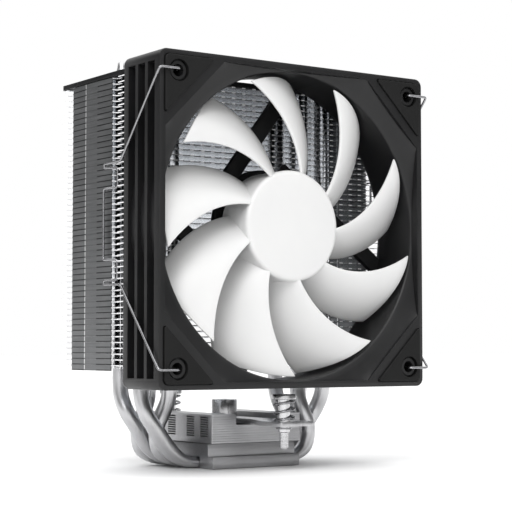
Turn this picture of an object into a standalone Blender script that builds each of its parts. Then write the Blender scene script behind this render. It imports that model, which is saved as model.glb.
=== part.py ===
"""Tower cooler for a processor: finned heatsink on four heat pipes, with a clipped-on 120 mm fan.

Metres, +Z up. The origin is the centre of the base's contact face, the fan faces -Y.
"""
import math

import bmesh
import bpy
from mathutils import Matrix, Vector

MM = 0.001
GAP = 0.3 * MM                     # room left between pieces that touch

# Fan
FAN_SIZE = 120 * MM
FAN_DEPTH = 25 * MM
FAN_FRONT = -49.4 * MM             # y of the fan's front face
FAN_REAR = FAN_FRONT + FAN_DEPTH
FAN_Z = 90.5 * MM                  # height of the fan's axis
FAN_HALF = FAN_SIZE / 2
HOLE_AT = 52.5 * MM                # screw holes, 105 mm apart
HOLE_R = 2.2 * MM
BORE_R = 57.2 * MM
DUCT_R = 58.9 * MM                 # outside of the duct wall, seen in the side grooves
MOUTH_HALF = 57.5 * MM             # square opening inside the front lip
MOUTH_DIAGONAL = 63.8 * MM         # and its cut corners, measured from the fan's axis
REAR_FLARE_R = 58.0 * MM
REAR_FLARE_DEPTH = 2 * MM
GROOVE_FLOOR = 56.4 * MM
GROOVE_WIDTH = 4.8 * MM
GROOVE_PITCH = 6.7 * MM
GROOVE_HALF = 56 * MM              # the grooves stop this far from the fan's axis
PAD_EDGE = 58 * MM                 # outer edges of a corner pad
PAD_LEG = 21 * MM
PAD_SUNK = 1.0 * MM
PAD_PROUD = 0.9 * MM
PAD_HOLE_R = 4.0 * MM

# Rotor and motor
HUB_R = 20.8 * MM
HUB_FRONT = FAN_FRONT + 3.0 * MM
HUB_REAR = FAN_REAR - 5.2 * MM
HUB_WALL = 1.4 * MM
BLADES = 9
TIP_R = 55.8 * MM
ROOT_ANGLE = 199.5                 # leading edge at the hub, seen from the front
SWEEP = 31.0                       # leading edge, hub to tip
CHORD = 29.0                       # degrees of turn that a blade covers
LEAD_ROOT = FAN_FRONT + 3.9 * MM   # leading edge, y at the hub and at the tip
LEAD_TIP = FAN_FRONT + 3.2 * MM
TRAIL_ROOT = FAN_FRONT + 15.8 * MM
TRAIL_TIP = FAN_FRONT + 17.0 * MM
CAMBER_ROOT = 1.35                 # powers that bend the section
CAMBER_TIP = 1.9
BLADE_THICK = 1.7 * MM
SHAFT_R = 1.5 * MM
SLEEVE_R = 3.2 * MM
TUBE_R = 4.6 * MM                  # bearing tube moulded on the frame
HOLDER_R = 22.5 * MM
HOLDER_THICK = 2.6 * MM
STRUT_FROM = (24 * MM, 131)        # a strut's middle line: radius and angle, near the holder
STRUT_TO = (44 * MM, 85)           # and further out
STRUT_WIDTH = 6.6 * MM

# Fin stack
FINS = 51
FIN_PITCH = 2.11 * MM
FIN_THICK = 0.4 * MM
FIN_TOP = 144.5 * MM
FIN_HALF_X = 60 * MM
FIN_HALF_Y = 23.8 * MM
WALL_HALF_Y = 15 * MM              # folded side walls
WALL_THICK = 0.4 * MM
NOTCH_FROM = 15.3 * MM             # side notches that take the clips
NOTCH_TO = 19.6 * MM
NOTCH_X = 57.4 * MM
PACKS = 3
COVER_THICK = 1.7 * MM

# Heat pipes
PIPE_R = 3.0 * MM
LEG_OUTER = 42.5 * MM
LEG_INNER = 30.0 * MM
LEG_Y = 7.7 * MM
PIPE_TOP = 155.5 * MM
TIP_LENGTH = 7.0 * MM
TIP_SCALE = 0.57
BASE_PITCH = 6.8 * MM
PRESS_RATIO = 2 / 3                # how flat the pipes are pressed in the base
PRESS_TO = 16 * MM                 # height where a pipe is fully round again
PIPE_SIDES = 3                     # bevel resolution

# Base
BASE_HALF_X = 20 * MM
BASE_HALF_Y = 22.5 * MM
BASE_LEDGE_Y = 19.2 * MM
BASE_PLATE_TOP = 4.5 * MM
BASE_TOP = 9.2 * MM
SINK_HALF_X = 20.4 * MM
SINK_HALF_Y = 22.6 * MM
SINK_TOP = 20.2 * MM
SINK_FINS = 8
CHANNEL_HALF_X = 9.6 * MM           # room for the crossbar along the finned block

# Crossbar and spring screws
BAR_HALF_X = 5.0 * MM
BAR_TOP = 18.5 * MM
BAR_THICK = 1.9 * MM
BAR_END_TOP = 17.9 * MM
BAR_END_THICK = 1.7 * MM
BAR_FLAT_Y = 26 * MM
BAR_DROP_Y = 33 * MM
BAR_END_Y = 45.2 * MM
BAR_EAR_X = 11.1 * MM
SCREW_Y = 40.1 * MM
SCREW_HEAD_R = 4.6 * MM
SCREW_HEAD_TOP = 28.1 * MM
SCREW_LIP = 26.2 * MM
SCREW_BODY_R = 2.2 * MM
SCREW_THREAD_R = 1.6 * MM
SCREW_END = 7.8 * MM
BOSS_R = 5.0 * MM
BOSS_TOP = 25.2 * MM
SPRING_R = 3.8 * MM
SPRING_WIRE_R = 0.45 * MM
SPRING_TURNS = 2.25

# Wire clips
CLIP_WIRE_R = 0.5 * MM
CLIP_FRONT_Y = FAN_FRONT - 1.75 * MM
CLIP_SIDE_X = 61.0 * MM
CLIP_NOTCH = (59.1 * MM, -18.6 * MM)
CLIP_OFFSETS = (52.9 * MM, 22.1 * MM, 21.2 * MM, 13.1 * MM)   # heights above the fan's axis
CLIP_LOOP_Y = -11.6 * MM
CLIP_HAIRPIN_Y = -12.4 * MM
CLIP_RUN_END_Y = -23.6 * MM

PARTS = bpy.data.collections.new("tower_cooler")
CUTTERS = bpy.data.collections.new("cutters")


# ---------------------------------------------------------------- helpers

def clear_scene():
    """Remove whatever the file holds."""
    for obj in list(bpy.data.objects):
        bpy.data.objects.remove(obj, do_unlink=True)
    for group in (PARTS, CUTTERS):
        bpy.context.scene.collection.children.link(group)


def material(name, color, roughness, metallic):
    """One Principled material."""
    mat = bpy.data.materials.new(name)
    mat.use_nodes = True
    shader = mat.node_tree.nodes["Principled BSDF"]
    shader.inputs["Base Color"].default_value = (*color, 1)
    shader.inputs["Roughness"].default_value = roughness
    shader.inputs["Metallic"].default_value = metallic
    mat.diffuse_color = (*color, 1)
    return mat


def add_mesh(name, bm, group=PARTS):
    """Turn a bmesh into an object."""
    mesh = bpy.data.meshes.new(name)
    bm.to_mesh(mesh)
    bm.free()
    obj = bpy.data.objects.new(name, mesh)
    group.objects.link(obj)
    if group is CUTTERS:
        obj.hide_render = True
        obj.display_type = 'WIRE'
    return obj


def paint(obj, mat):
    """Give the object its one material and smooth its round faces."""
    obj.data.materials.clear()
    obj.data.materials.append(mat)
    obj.data.shade_smooth()
    obj.data.set_sharp_from_angle(angle=math.radians(35))
    return obj


def box(name, low, high, group=PARTS):
    """Box between two corners."""
    low, high = Vector(low), Vector(high)
    bm = bmesh.new()
    place = Matrix.Translation((low + high) / 2) @ Matrix.Diagonal((*(high - low), 1))
    bmesh.ops.create_cube(bm, size=1, matrix=place)
    return add_mesh(name, bm, group)


def cylinder(name, radius, start, end, sides=24, group=PARTS, end_radius=None):
    """Cylinder or cone between two points."""
    start, end = Vector(start), Vector(end)
    axis = end - start
    turn = Vector((0, 0, 1)).rotation_difference(axis).to_matrix().to_4x4()
    bm = bmesh.new()
    bmesh.ops.create_cone(bm, cap_ends=True, segments=sides, radius1=radius,
                          radius2=radius if end_radius is None else end_radius,
                          depth=axis.length, matrix=Matrix.Translation((start + end) / 2) @ turn)
    return add_mesh(name, bm, group)


def bake(obj, group=PARTS):
    """Replace an object by the mesh it evaluates to, in world space."""
    bpy.context.view_layer.update()
    graph = bpy.context.evaluated_depsgraph_get()
    mesh = bpy.data.meshes.new_from_object(obj.evaluated_get(graph))
    mesh.transform(obj.matrix_world)
    bm = bmesh.new()
    bm.from_mesh(mesh)
    bmesh.ops.remove_doubles(bm, verts=bm.verts, dist=1e-6)
    bmesh.ops.recalc_face_normals(bm, faces=bm.faces)
    name = obj.name
    bpy.data.objects.remove(obj, do_unlink=True)
    bpy.data.meshes.remove(mesh)
    return add_mesh(name, bm, group)


def prism(name, outlines, low, high, axis='Z', group=PARTS):
    """Flat outline, with holes if more than one, drawn out between two places on an axis."""
    curve = bpy.data.curves.new(name, 'CURVE')
    curve.dimensions = '2D'
    curve.fill_mode = 'BOTH'
    curve.extrude = (high - low) / 2
    for outline in outlines:
        spline = curve.splines.new('POLY')
        spline.points.add(len(outline) - 1)
        for point, (u, v) in zip(spline.points, outline):
            point.co = (u, v, 0, 1)
        spline.use_cyclic_u = True
    obj = bpy.data.objects.new(name, curve)
    bpy.context.scene.collection.objects.link(obj)
    middle = (low + high) / 2
    if axis == 'Z':
        obj.location.z = middle
    else:                                      # drawn in X and Z, extruded along Y
        obj.rotation_euler.x = math.radians(90)
        obj.location.y = middle
    return bake(obj, group)


def turned(name, profile, axis='Z', centre=(0, 0, 0), steps=24, group=PARTS):
    """Profile of (radius, height) from the top down, turned about an axis."""
    bm = bmesh.new()
    points = [bm.verts.new((radius, 0, height)) for radius, height in profile]
    for first, second in zip(points, points[1:]):
        bm.edges.new((first, second))
    if profile[0][0] > 0 or profile[-1][0] > 0:
        bm.edges.new((points[-1], points[0]))
    obj = add_mesh(name, bm)
    screw = obj.modifiers.new("turn", 'SCREW')
    screw.steps = steps
    screw.render_steps = steps
    screw.use_merge_vertices = True
    screw.merge_threshold = 0.00001
    if axis == 'Y':                            # heights become places along Y
        obj.rotation_euler.x = math.radians(-90)
    obj.location = centre
    return bake(obj, group)


def wire(name, points, radius, resolution=2, radii=None, group=PARTS):
    """Round wire or tube through points."""
    curve = bpy.data.curves.new(name, 'CURVE')
    curve.dimensions = '3D'
    curve.bevel_depth = radius
    curve.bevel_resolution = resolution
    curve.use_fill_caps = True
    spline = curve.splines.new('POLY')
    spline.points.add(len(points) - 1)
    for index, (point, place) in enumerate(zip(spline.points, points)):
        point.co = (*place, 1)
        point.radius = radii[index] if radii else 1
    obj = bpy.data.objects.new(name, curve)
    bpy.context.scene.collection.objects.link(obj)
    return bake(obj, group)


def combine(obj, others, operation):
    """Boolean with each of the others in turn, dropping them."""
    for other in others:
        step = obj.modifiers.new(operation.lower(), 'BOOLEAN')
        step.operation = operation
        step.object = other
        obj = bake(obj)
        bpy.data.objects.remove(other, do_unlink=True)
    return obj


def cut(obj, *cutters):
    return combine(obj, cutters, 'DIFFERENCE')


def join(obj, *others):
    return combine(obj, others, 'UNION')


def set_origin(obj, place):
    """Move the object's origin without moving its shape."""
    place = Vector(place)
    obj.data.transform(Matrix.Translation(-place))
    obj.location = place
    return obj


def arc(centre, radius, start, end, steps):
    """Points on an arc, angles in degrees."""
    points = []
    for index in range(steps + 1):
        angle = math.radians(start + (end - start) * index / steps)
        points.append((centre[0] + radius * math.cos(angle), centre[1] + radius * math.sin(angle)))
    return points


def circle(centre, radius, sides):
    return arc(centre, radius, 0, 360, sides)[:-1]


def rounded(corners, radius, steps=3):
    """Outline through the corners with each one rounded."""
    outline = []
    count = len(corners)
    for index, corner in enumerate(corners):
        here = Vector(corner)
        before = (Vector(corners[index - 1]) - here).normalized()
        after = (Vector(corners[(index + 1) % count]) - here).normalized()
        half = before.angle(after) / 2
        centre = here + (before + after).normalized() * (radius / math.sin(half))
        start = here + before * (radius / math.tan(half)) - centre
        end = here + after * (radius / math.tan(half)) - centre
        sweep = start.angle_signed(end)
        for step in range(steps + 1):
            angle = math.atan2(start.y, start.x) - sweep * step / steps
            outline.append((centre.x + radius * math.cos(angle), centre.y + radius * math.sin(angle)))
    return outline


def smooth_path(points, spacing):
    """Catmull-Rom curve through points, sampled at an even spacing."""
    ends = [2 * points[0] - points[1], *points, 2 * points[-1] - points[-2]]
    dense = []
    for p0, p1, p2, p3 in zip(ends, ends[1:], ends[2:], ends[3:]):
        for step in range(20):
            t = step / 20
            dense.append(0.5 * (2 * p1 + (p2 - p0) * t + (2 * p0 - 5 * p1 + 4 * p2 - p3) * t * t
                                + (3 * p1 - p0 - 3 * p2 + p3) * t ** 3))
    dense.append(points[-1])
    lengths = [0]
    for first, second in zip(dense, dense[1:]):
        lengths.append(lengths[-1] + (second - first).length)
    count = max(2, round(lengths[-1] / spacing))
    path = []
    index = 0
    for step in range(count + 1):
        wanted = lengths[-1] * step / count
        while index < len(dense) - 2 and lengths[index + 1] < wanted:
            index += 1
        share = (wanted - lengths[index]) / max(lengths[index + 1] - lengths[index], 1e-9)
        path.append(dense[index].lerp(dense[index + 1], share))
    return path


def smoothstep(value):
    value = min(1, max(0, value))
    return value * value * (3 - 2 * value)


def fan_outline(outline):
    """Shift an outline drawn about the fan's axis to its place (drawn as X, Z)."""
    return [(x, z + FAN_Z) for x, z in outline]


# ---------------------------------------------------------------- fan

def pad_outline(sign_x, sign_z, grow=0.0):
    """Rounded triangle in one corner of the fan, about the fan's axis."""
    edge = PAD_EDGE + grow
    leg = PAD_LEG + 2.6 * grow
    corners = [(edge, edge), (edge - leg, edge), (edge, edge - leg)]
    corners = [(x * sign_x, z * sign_z) for x, z in corners]
    return rounded(corners, 2.0 * MM, 2)


def make_frame(mat):
    """Square fan frame: duct, grooved sides, pad pockets, struts, motor holder, bearing tube."""
    square = [(-FAN_HALF, -FAN_HALF), (FAN_HALF, -FAN_HALF), (FAN_HALF, FAN_HALF), (-FAN_HALF, FAN_HALF)]
    frame = prism("fan_frame", [fan_outline(rounded(square, 3 * MM, 3))], FAN_FRONT, FAN_REAR, 'Y')
    axis = (0, 0, FAN_Z)
    bore = turned("bore", [(0, FAN_REAR + MM), (REAR_FLARE_R, FAN_REAR + MM), (REAR_FLARE_R, FAN_REAR),
                           (BORE_R, FAN_REAR - REAR_FLARE_DEPTH), (BORE_R, FAN_FRONT - MM),
                           (0, FAN_FRONT - MM)], 'Y', axis, 48, CUTTERS)
    frame = cut(frame, bore, mouth(), *side_grooves(), *pad_pockets(), *screw_holes())
    holder = turned("holder", [(0, FAN_REAR), (HOLDER_R, FAN_REAR), (HOLDER_R, FAN_REAR - HOLDER_THICK),
                               (0, FAN_REAR - HOLDER_THICK)], 'Y', axis, 32)
    tube = turned("tube", [(0, FAN_REAR - MM), (TUBE_R, FAN_REAR - MM), (TUBE_R, HUB_FRONT + 6 * MM),
                           (0, HUB_FRONT + 6 * MM)], 'Y', axis, 20)
    spider = join(holder, *struts(), tube)
    inside_duct = cylinder("inside", DUCT_R - 0.3 * MM, (0, FAN_FRONT, FAN_Z), (0, FAN_REAR, FAN_Z), 48)
    spider = combine(spider, [inside_duct], 'INTERSECT')
    sleeve_hole = cylinder("sleeve_hole", SLEEVE_R + GAP / 2, (0, FAN_FRONT, FAN_Z),
                           (0, FAN_REAR - 0.8 * MM, FAN_Z), 20, CUTTERS)
    frame = cut(join(frame, spider), sleeve_hole)
    return paint(frame, mat)


def mouth():
    """The duct's sloped mouth: a shallow cone inside a square with its corners cut off."""
    cone = turned("mouth", [(0, FAN_FRONT + 4.4 * MM), (56.5 * MM, FAN_FRONT + 4.4 * MM),
                            (57.8 * MM, FAN_FRONT + 3.4 * MM), (63.3 * MM, FAN_FRONT + 1.6 * MM),
                            (66.5 * MM, FAN_FRONT), (66.5 * MM, FAN_FRONT - MM), (0, FAN_FRONT - MM)],
                  'Y', (0, 0, FAN_Z), 48, CUTTERS)
    half, off = MOUTH_HALF, MOUTH_HALF * 2 - MOUTH_DIAGONAL * math.sqrt(2)
    near = half - off
    outline = [(-near, -half), (near, -half), (half, -near), (half, near), (near, half), (-near, half),
               (-half, near), (-half, -near)]
    square = prism("square", [fan_outline(outline)], FAN_FRONT - 2 * MM, FAN_FRONT + 6 * MM, 'Y', CUTTERS)
    return combine(cone, [square], 'INTERSECT')


def struts():
    """Four flat bars from the motor holder to the duct, slanted from the radial line."""
    radius, angle = STRUT_FROM
    start = Vector((radius * math.cos(math.radians(angle)), 0, radius * math.sin(math.radians(angle))))
    radius, angle = STRUT_TO
    way = Vector((radius * math.cos(math.radians(angle)), 0, radius * math.sin(math.radians(angle)))) - start
    way.normalize()
    bars = []
    for index in range(4):
        bar = box("strut", (0, -HOLDER_THICK / 2, -STRUT_WIDTH / 2),
                  (66 * MM, HOLDER_THICK / 2, STRUT_WIDTH / 2))
        lean = Matrix.Rotation(-math.atan2(way.z, way.x), 4, 'Y')
        middle = Matrix.Translation(start - way * 12 * MM)
        about = Matrix.Rotation(math.radians(90 * index), 4, 'Y')
        bar.data.transform(Matrix.Translation((0, FAN_REAR - HOLDER_THICK / 2, FAN_Z)) @ about @ middle @ lean)
        bars.append(bar)
    return bars


def side_grooves():
    """Three broad grooves round each side, interrupted by the bulge of the duct."""
    reach = math.sqrt(DUCT_R ** 2 - GROOVE_FLOOR ** 2)
    lean = math.degrees(math.atan2(reach, GROOVE_FLOOR))
    outline = [(FAN_HALF + MM, -GROOVE_HALF), (FAN_HALF + MM, GROOVE_HALF), (GROOVE_FLOOR, GROOVE_HALF)]
    outline += arc((0, 0), DUCT_R, lean, -lean, 8) + [(GROOVE_FLOOR, -GROOVE_HALF)]
    grooves = []
    for row in (-1, 0, 1):
        middle = (FAN_FRONT + FAN_REAR) / 2 + row * GROOVE_PITCH
        for quarter in range(4):
            turn = Matrix.Rotation(math.radians(90 * quarter), 2)
            turned_outline = [tuple(turn @ Vector(point)) for point in outline]
            grooves.append(prism("groove", [fan_outline(turned_outline)], middle - GROOVE_WIDTH / 2,
                                 middle + GROOVE_WIDTH / 2, 'Y', CUTTERS))
    return grooves


CORNERS = {"tl": (-1, 1), "tr": (1, 1), "bl": (-1, -1), "br": (1, -1)}


def pad_pockets():
    """Shallow pockets for the corner pads, front and rear."""
    pockets = []
    for sign_x, sign_z in CORNERS.values():
        outline = fan_outline(pad_outline(sign_x, sign_z, GAP))
        pockets.append(prism("pocket", [outline], FAN_FRONT - MM, FAN_FRONT + PAD_SUNK, 'Y', CUTTERS))
        pockets.append(prism("pocket", [outline], FAN_REAR - PAD_SUNK, FAN_REAR + MM, 'Y', CUTTERS))
    return pockets


def screw_holes():
    """Through holes in the four corners."""
    holes = []
    for sign_x, sign_z in CORNERS.values():
        x, z = sign_x * HOLE_AT, FAN_Z + sign_z * HOLE_AT
        holes.append(cylinder("hole", HOLE_R, (x, FAN_FRONT - MM, z), (x, FAN_REAR + MM, z), 12, CUTTERS))
    return holes


def make_pads(mat):
    """Rubber corner pads: thick ones in front, thin ones between the frame and the fins."""
    spans = {"front": (FAN_FRONT - PAD_PROUD, FAN_FRONT + PAD_SUNK - GAP),
             "rear": (FAN_REAR - PAD_SUNK + GAP, FAN_REAR + GAP)}
    for side, (low, high) in spans.items():
        for corner, (sign_x, sign_z) in CORNERS.items():
            hole = circle((sign_x * HOLE_AT, sign_z * HOLE_AT), PAD_HOLE_R, 12)
            outlines = [fan_outline(pad_outline(sign_x, sign_z)), fan_outline(hole)]
            pad = prism("pad_%s_%s" % (side, corner), outlines, low, high, 'Y')
            paint(set_origin(pad, (sign_x * HOLE_AT, low, FAN_Z + sign_z * HOLE_AT)), mat)


def blade(index):
    """One swept blade as a closed strip of sections from the hub to the tip."""
    spans, chords = 7, 5
    bm = bmesh.new()
    front, back = [], []
    for i in range(spans + 1):
        t = i / spans
        radius = HUB_R - 0.8 * MM + (TIP_R - HUB_R + 0.8 * MM) * t
        lead = ROOT_ANGLE + SWEEP * t + 360 / BLADES * index
        lead_y = LEAD_ROOT + (LEAD_TIP - LEAD_ROOT) * t
        drop = TRAIL_ROOT + (TRAIL_TIP - TRAIL_ROOT) * t - lead_y
        camber = CAMBER_ROOT + (CAMBER_TIP - CAMBER_ROOT) * t
        rows = ([], [])
        for j in range(chords + 1):
            s = j / chords
            angle = math.radians(lead - CHORD * s)
            y = lead_y + drop * s ** camber
            for row, side in zip(rows, (-0.5, 0.5)):
                thick = BLADE_THICK * (1 - 0.35 * t) * (0.35 + 0.65 * math.sin(math.pi * min(1, s + 0.12)))
                place = (radius * math.cos(angle), y + side * thick, FAN_Z + radius * math.sin(angle))
                row.append(bm.verts.new(place))
        front.append(rows[0])
        back.append(rows[1])
    for grid in (front, back):
        for i in range(spans):
            for j in range(chords):
                bm.faces.new((grid[i][j], grid[i + 1][j], grid[i + 1][j + 1], grid[i][j + 1]))
    for i in range(spans):
        for j in (0, chords):
            bm.faces.new((front[i][j], front[i + 1][j], back[i + 1][j], back[i][j]))
    for j in range(chords):
        for i in (0, spans):
            bm.faces.new((front[i][j], front[i][j + 1], back[i][j + 1], back[i][j]))
    bmesh.ops.recalc_face_normals(bm, faces=bm.faces)
    return add_mesh("blade", bm)


def make_rotor(mats):
    """Impeller with its steel yoke, magnet ring and shaft."""
    axis = (0, 0, FAN_Z)
    floor = HUB_FRONT + 1.6 * MM
    profile = [(HUB_R, HUB_REAR), (HUB_R, HUB_FRONT + 1.2 * MM), (HUB_R - 0.4 * MM, HUB_FRONT + 0.4 * MM),
               (HUB_R - 1.2 * MM, HUB_FRONT), (0, HUB_FRONT), (0, floor), (HUB_R - HUB_WALL, floor),
               (HUB_R - HUB_WALL, HUB_REAR)]
    hub = turned("impeller", profile + [profile[0]], 'Y', axis, 36)
    seat = turned("seat", [(0, floor + 3 * MM), (3.4 * MM, floor + 3 * MM), (3.4 * MM, floor - MM),
                           (0, floor - MM)], 'Y', axis, 16)
    hub = join(hub, seat, *[blade(index) for index in range(BLADES)])
    bore = cylinder("shaft_hole", SHAFT_R + GAP / 2, (0, HUB_FRONT + 1.2 * MM, FAN_Z),
                    (0, HUB_FRONT + 8 * MM, FAN_Z), 16, CUTTERS)
    paint(set_origin(cut(hub, bore), axis), mats["white"])
    top, bottom = HUB_REAR - 1.5 * MM, floor + GAP
    for name, outer, inner, mat in (("yoke_ring", HUB_R - HUB_WALL - GAP, 18.4 * MM, mats["steel"]),
                                    ("rotor_magnet", 18.1 * MM, 16.7 * MM, mats["magnet"])):
        ring = [(inner, top), (outer, top), (outer, bottom), (inner, bottom)]
        paint(set_origin(turned(name, ring, 'Y', axis, 32), axis), mat)
    shaft = cylinder("shaft", SHAFT_R, (0, HUB_FRONT + 1.5 * MM, FAN_Z), (0, FAN_REAR - 1.6 * MM, FAN_Z), 16)
    paint(set_origin(shaft, axis), mats["steel"])


def make_motor(mats):
    """Bearing sleeve, stator core, four coils, circuit board and the label at the rear."""
    axis = (0, 0, FAN_Z)
    front, rear = HUB_FRONT + 6.5 * MM, FAN_REAR - 2.0 * MM
    profile = [(SHAFT_R + 0.09 * MM, rear), (SLEEVE_R - GAP / 2, rear), (SLEEVE_R - GAP / 2, front),
               (SHAFT_R + 0.09 * MM, front)]
    paint(turned("bearing_sleeve", profile, 'Y', axis, 16), mats["brass"])
    core_front, core_rear = FAN_FRONT + 10 * MM, FAN_REAR - 8.5 * MM
    arm, tip, inner = 1.6 * MM, 15.6 * MM, 6.4 * MM
    outline = []
    for quarter in range(4):
        turn = Matrix.Rotation(math.radians(90 * quarter), 2)
        shoe = arc((0, 0), tip, -32, 32, 6)
        pole = [(inner, -arm), (13.6 * MM, -arm), (13.2 * MM, -7.4 * MM)] + shoe
        pole += [(13.2 * MM, 7.4 * MM), (13.6 * MM, arm), (inner, arm)]
        outline += [tuple(turn @ Vector(point)) for point in pole]
    core = prism("stator_core", [fan_outline(outline), fan_outline(circle((0, 0), TUBE_R + GAP, 20))],
                 core_front, core_rear, 'Y')
    paint(core, mats["core"])
    for quarter in range(4):
        make_coil(quarter, arm, core_front, core_rear, mats["copper"])
    board = prism("motor_board", [fan_outline(circle((0, 0), 17.5 * MM, 28)),
                                  fan_outline(circle((0, 0), TUBE_R + GAP, 20))],
                  FAN_REAR - 4.2 * MM, FAN_REAR - HOLDER_THICK - GAP, 'Y')
    paint(board, mats["board"])
    label = prism("rear_label", [fan_outline(circle((0, 0), HOLDER_R - 2 * MM, 28))],
                  FAN_REAR + 0.05 * MM, FAN_REAR + 0.25 * MM, 'Y')
    paint(label, mats["label"])


def make_coil(quarter, arm, core_front, core_rear, mat):
    """Winding round one stator pole: a square ring along the pole."""
    start, end, wall = 7.4 * MM, 12.6 * MM, 1.5 * MM
    clear = arm + GAP
    coil = box("coil_%d" % (quarter + 1), (start, core_front - GAP - wall, -clear - wall),
               (end, core_rear + GAP + wall, clear + wall))
    window = box("window", (start - MM, core_front - GAP, -clear), (end + MM, core_rear + GAP, clear), CUTTERS)
    coil = cut(coil, window)
    coil.data.transform(Matrix.Translation((0, 0, FAN_Z)) @ Matrix.Rotation(math.radians(-90 * quarter), 4, 'Y'))
    paint(coil, mat)


# ---------------------------------------------------------------- clips

def make_clips(mat):
    """Spring wire clips, one each side, from the fan's holes to the notches in the fins."""
    high, turn, top, low = CLIP_OFFSETS
    notch_x, notch_y = CLIP_NOTCH
    half = [(HOLE_AT, FAN_FRONT + 4 * MM, high), (HOLE_AT, CLIP_FRONT_Y + 0.8 * MM, high),
            (HOLE_AT + 0.8 * MM, CLIP_FRONT_Y, high), (CLIP_SIDE_X - 0.6 * MM, CLIP_FRONT_Y, high),
            (CLIP_SIDE_X, CLIP_FRONT_Y + 0.6 * MM, high - 0.6 * MM),
            (CLIP_SIDE_X, CLIP_RUN_END_Y - 0.8 * MM, turn + 0.6 * MM),
            (CLIP_SIDE_X, CLIP_RUN_END_Y + 0.5 * MM, turn), (CLIP_SIDE_X, CLIP_HAIRPIN_Y - MM, turn),
            (CLIP_SIDE_X, CLIP_HAIRPIN_Y, turn - 0.7 * MM), (CLIP_SIDE_X, CLIP_HAIRPIN_Y - MM, turn - 1.4 * MM),
            (notch_x + 0.7 * MM, notch_y + 1.6 * MM, turn - 1.5 * MM), (notch_x, notch_y, top - 1.6 * MM),
            (notch_x, notch_y, low + 0.8 * MM), (notch_x + 0.7 * MM, notch_y + 1.4 * MM, low),
            (CLIP_SIDE_X, CLIP_LOOP_Y - 0.9 * MM, low), (CLIP_SIDE_X, CLIP_LOOP_Y, low - 0.9 * MM)]
    for name, sign in (("clip_left", -1), ("clip_right", 1)):
        points = [Vector((sign * x, y, FAN_Z + z)) for x, y, z in half]
        points += [Vector((p.x, p.y, 2 * FAN_Z - p.z)) for p in reversed(points)]
        clip = wire(name, points, CLIP_WIRE_R, 1)
        paint(set_origin(clip, (sign * HOLE_AT, CLIP_FRONT_Y, FAN_Z)), mat)


# ---------------------------------------------------------------- fin stack

def make_fins(mat):
    """Packs of fins joined by their folded side walls, slotted for the pipe legs."""
    per_pack = FINS // PACKS
    outline = []
    for sign_x, sign_y in ((1, -1), (1, 1), (-1, 1), (-1, -1)):
        corner = [(FIN_HALF_X, WALL_HALF_Y), (NOTCH_X, NOTCH_FROM), (NOTCH_X, NOTCH_TO - MM),
                  (FIN_HALF_X - 0.4 * MM, NOTCH_TO), (FIN_HALF_X - 0.4 * MM, FIN_HALF_Y)]
        if sign_x * sign_y < 0:
            corner.reverse()
        outline += [(x * sign_x, y * sign_y) for x, y in corner]
    slots = []
    for x in (-LEG_OUTER, -LEG_INNER, LEG_INNER, LEG_OUTER):
        half_x, half_y = PIPE_R + GAP, LEG_Y + PIPE_R + GAP
        slots.append([(x - half_x, -half_y), (x + half_x, -half_y), (x + half_x, half_y), (x - half_x, half_y)])
    for pack in range(PACKS):
        top = FIN_TOP - (PACKS - 1 - pack) * per_pack * FIN_PITCH
        bottom = top - (per_pack - 1) * FIN_PITCH - FIN_THICK - 1.4 * MM
        stack = prism("fin_pack_%s" % ("lower", "middle", "upper")[pack], [outline, *slots], bottom, top)
        gaps = []
        for row in range(per_pack):
            ceiling = top - FIN_THICK - row * FIN_PITCH
            floor = ceiling - (FIN_PITCH - FIN_THICK)
            if row == per_pack - 1:
                floor = bottom - MM
            gaps.append(air_gap(floor, ceiling))
        paint(cut(stack, *gaps), mat)


def air_gap(floor, ceiling):
    """Space between two fins: open at the front, the rear and the corners, closed by the walls."""
    wide, deep, inner = FIN_HALF_X + MM, FIN_HALF_Y + MM, FIN_HALF_X - WALL_THICK
    outline = []
    for sign_x, sign_y in ((1, -1), (1, 1), (-1, 1), (-1, -1)):
        corner = [(inner, WALL_HALF_Y - 0.5 * MM), (wide, WALL_HALF_Y - 0.3 * MM), (wide, deep)]
        if sign_x * sign_y < 0:
            corner.reverse()
        outline += [(x * sign_x, y * sign_y) for x, y in corner]
    return prism("gap", [outline], floor, ceiling, 'Z', CUTTERS)


def make_cover(mat):
    """Black plate on top of the fins, with eight holes for the pipe tips."""
    outline = rounded([(-FIN_HALF_X, -FIN_HALF_Y), (FIN_HALF_X, -FIN_HALF_Y), (FIN_HALF_X, FIN_HALF_Y),
                       (-FIN_HALF_X, FIN_HALF_Y)], 1.5 * MM, 2)
    holes = [circle((x, y), PIPE_R + 1.6 * GAP, 14) for x in (-LEG_OUTER, -LEG_INNER, LEG_INNER, LEG_OUTER)
             for y in (-LEG_Y, LEG_Y)]
    cover = prism("top_cover", [outline, *holes], FIN_TOP + GAP, FIN_TOP + GAP + COVER_THICK)
    paint(cover, mat)


# ---------------------------------------------------------------- heat pipes

def leg_half(outer, leg_y, base_y):
    """Middle line of one leg, from the tip down to the base's end; x positive, z before pressing."""
    if outer:
        bends = [(42.5, 31), (42.3, 26), (41.2, 20.5), (38.2, 15.8), (34.6, 11.6), (31.0, 8.2),
                 (27.0, 5.0), (23.0, 3.25)]
    else:
        bends = [(30.0, 30), (30.1, 25), (31.2, 20), (32.7, 16), (33.2, 12.5), (32.0, 9.0),
                 (29.2, 5.9), (25.6, 3.8), (22.5, 3.1)]
    points = []
    for x, z in bends:
        y = leg_y + (base_y - leg_y) * smoothstep((30 - z) / 14)
        points.append(Vector((x * MM, y, z * MM)))
    top_x = LEG_OUTER if outer else LEG_INNER
    return [Vector((top_x, leg_y, PIPE_TOP)), Vector((top_x, leg_y, PIPE_TOP - TIP_LENGTH)),
            Vector((top_x, leg_y, 40 * MM))], points


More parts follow.
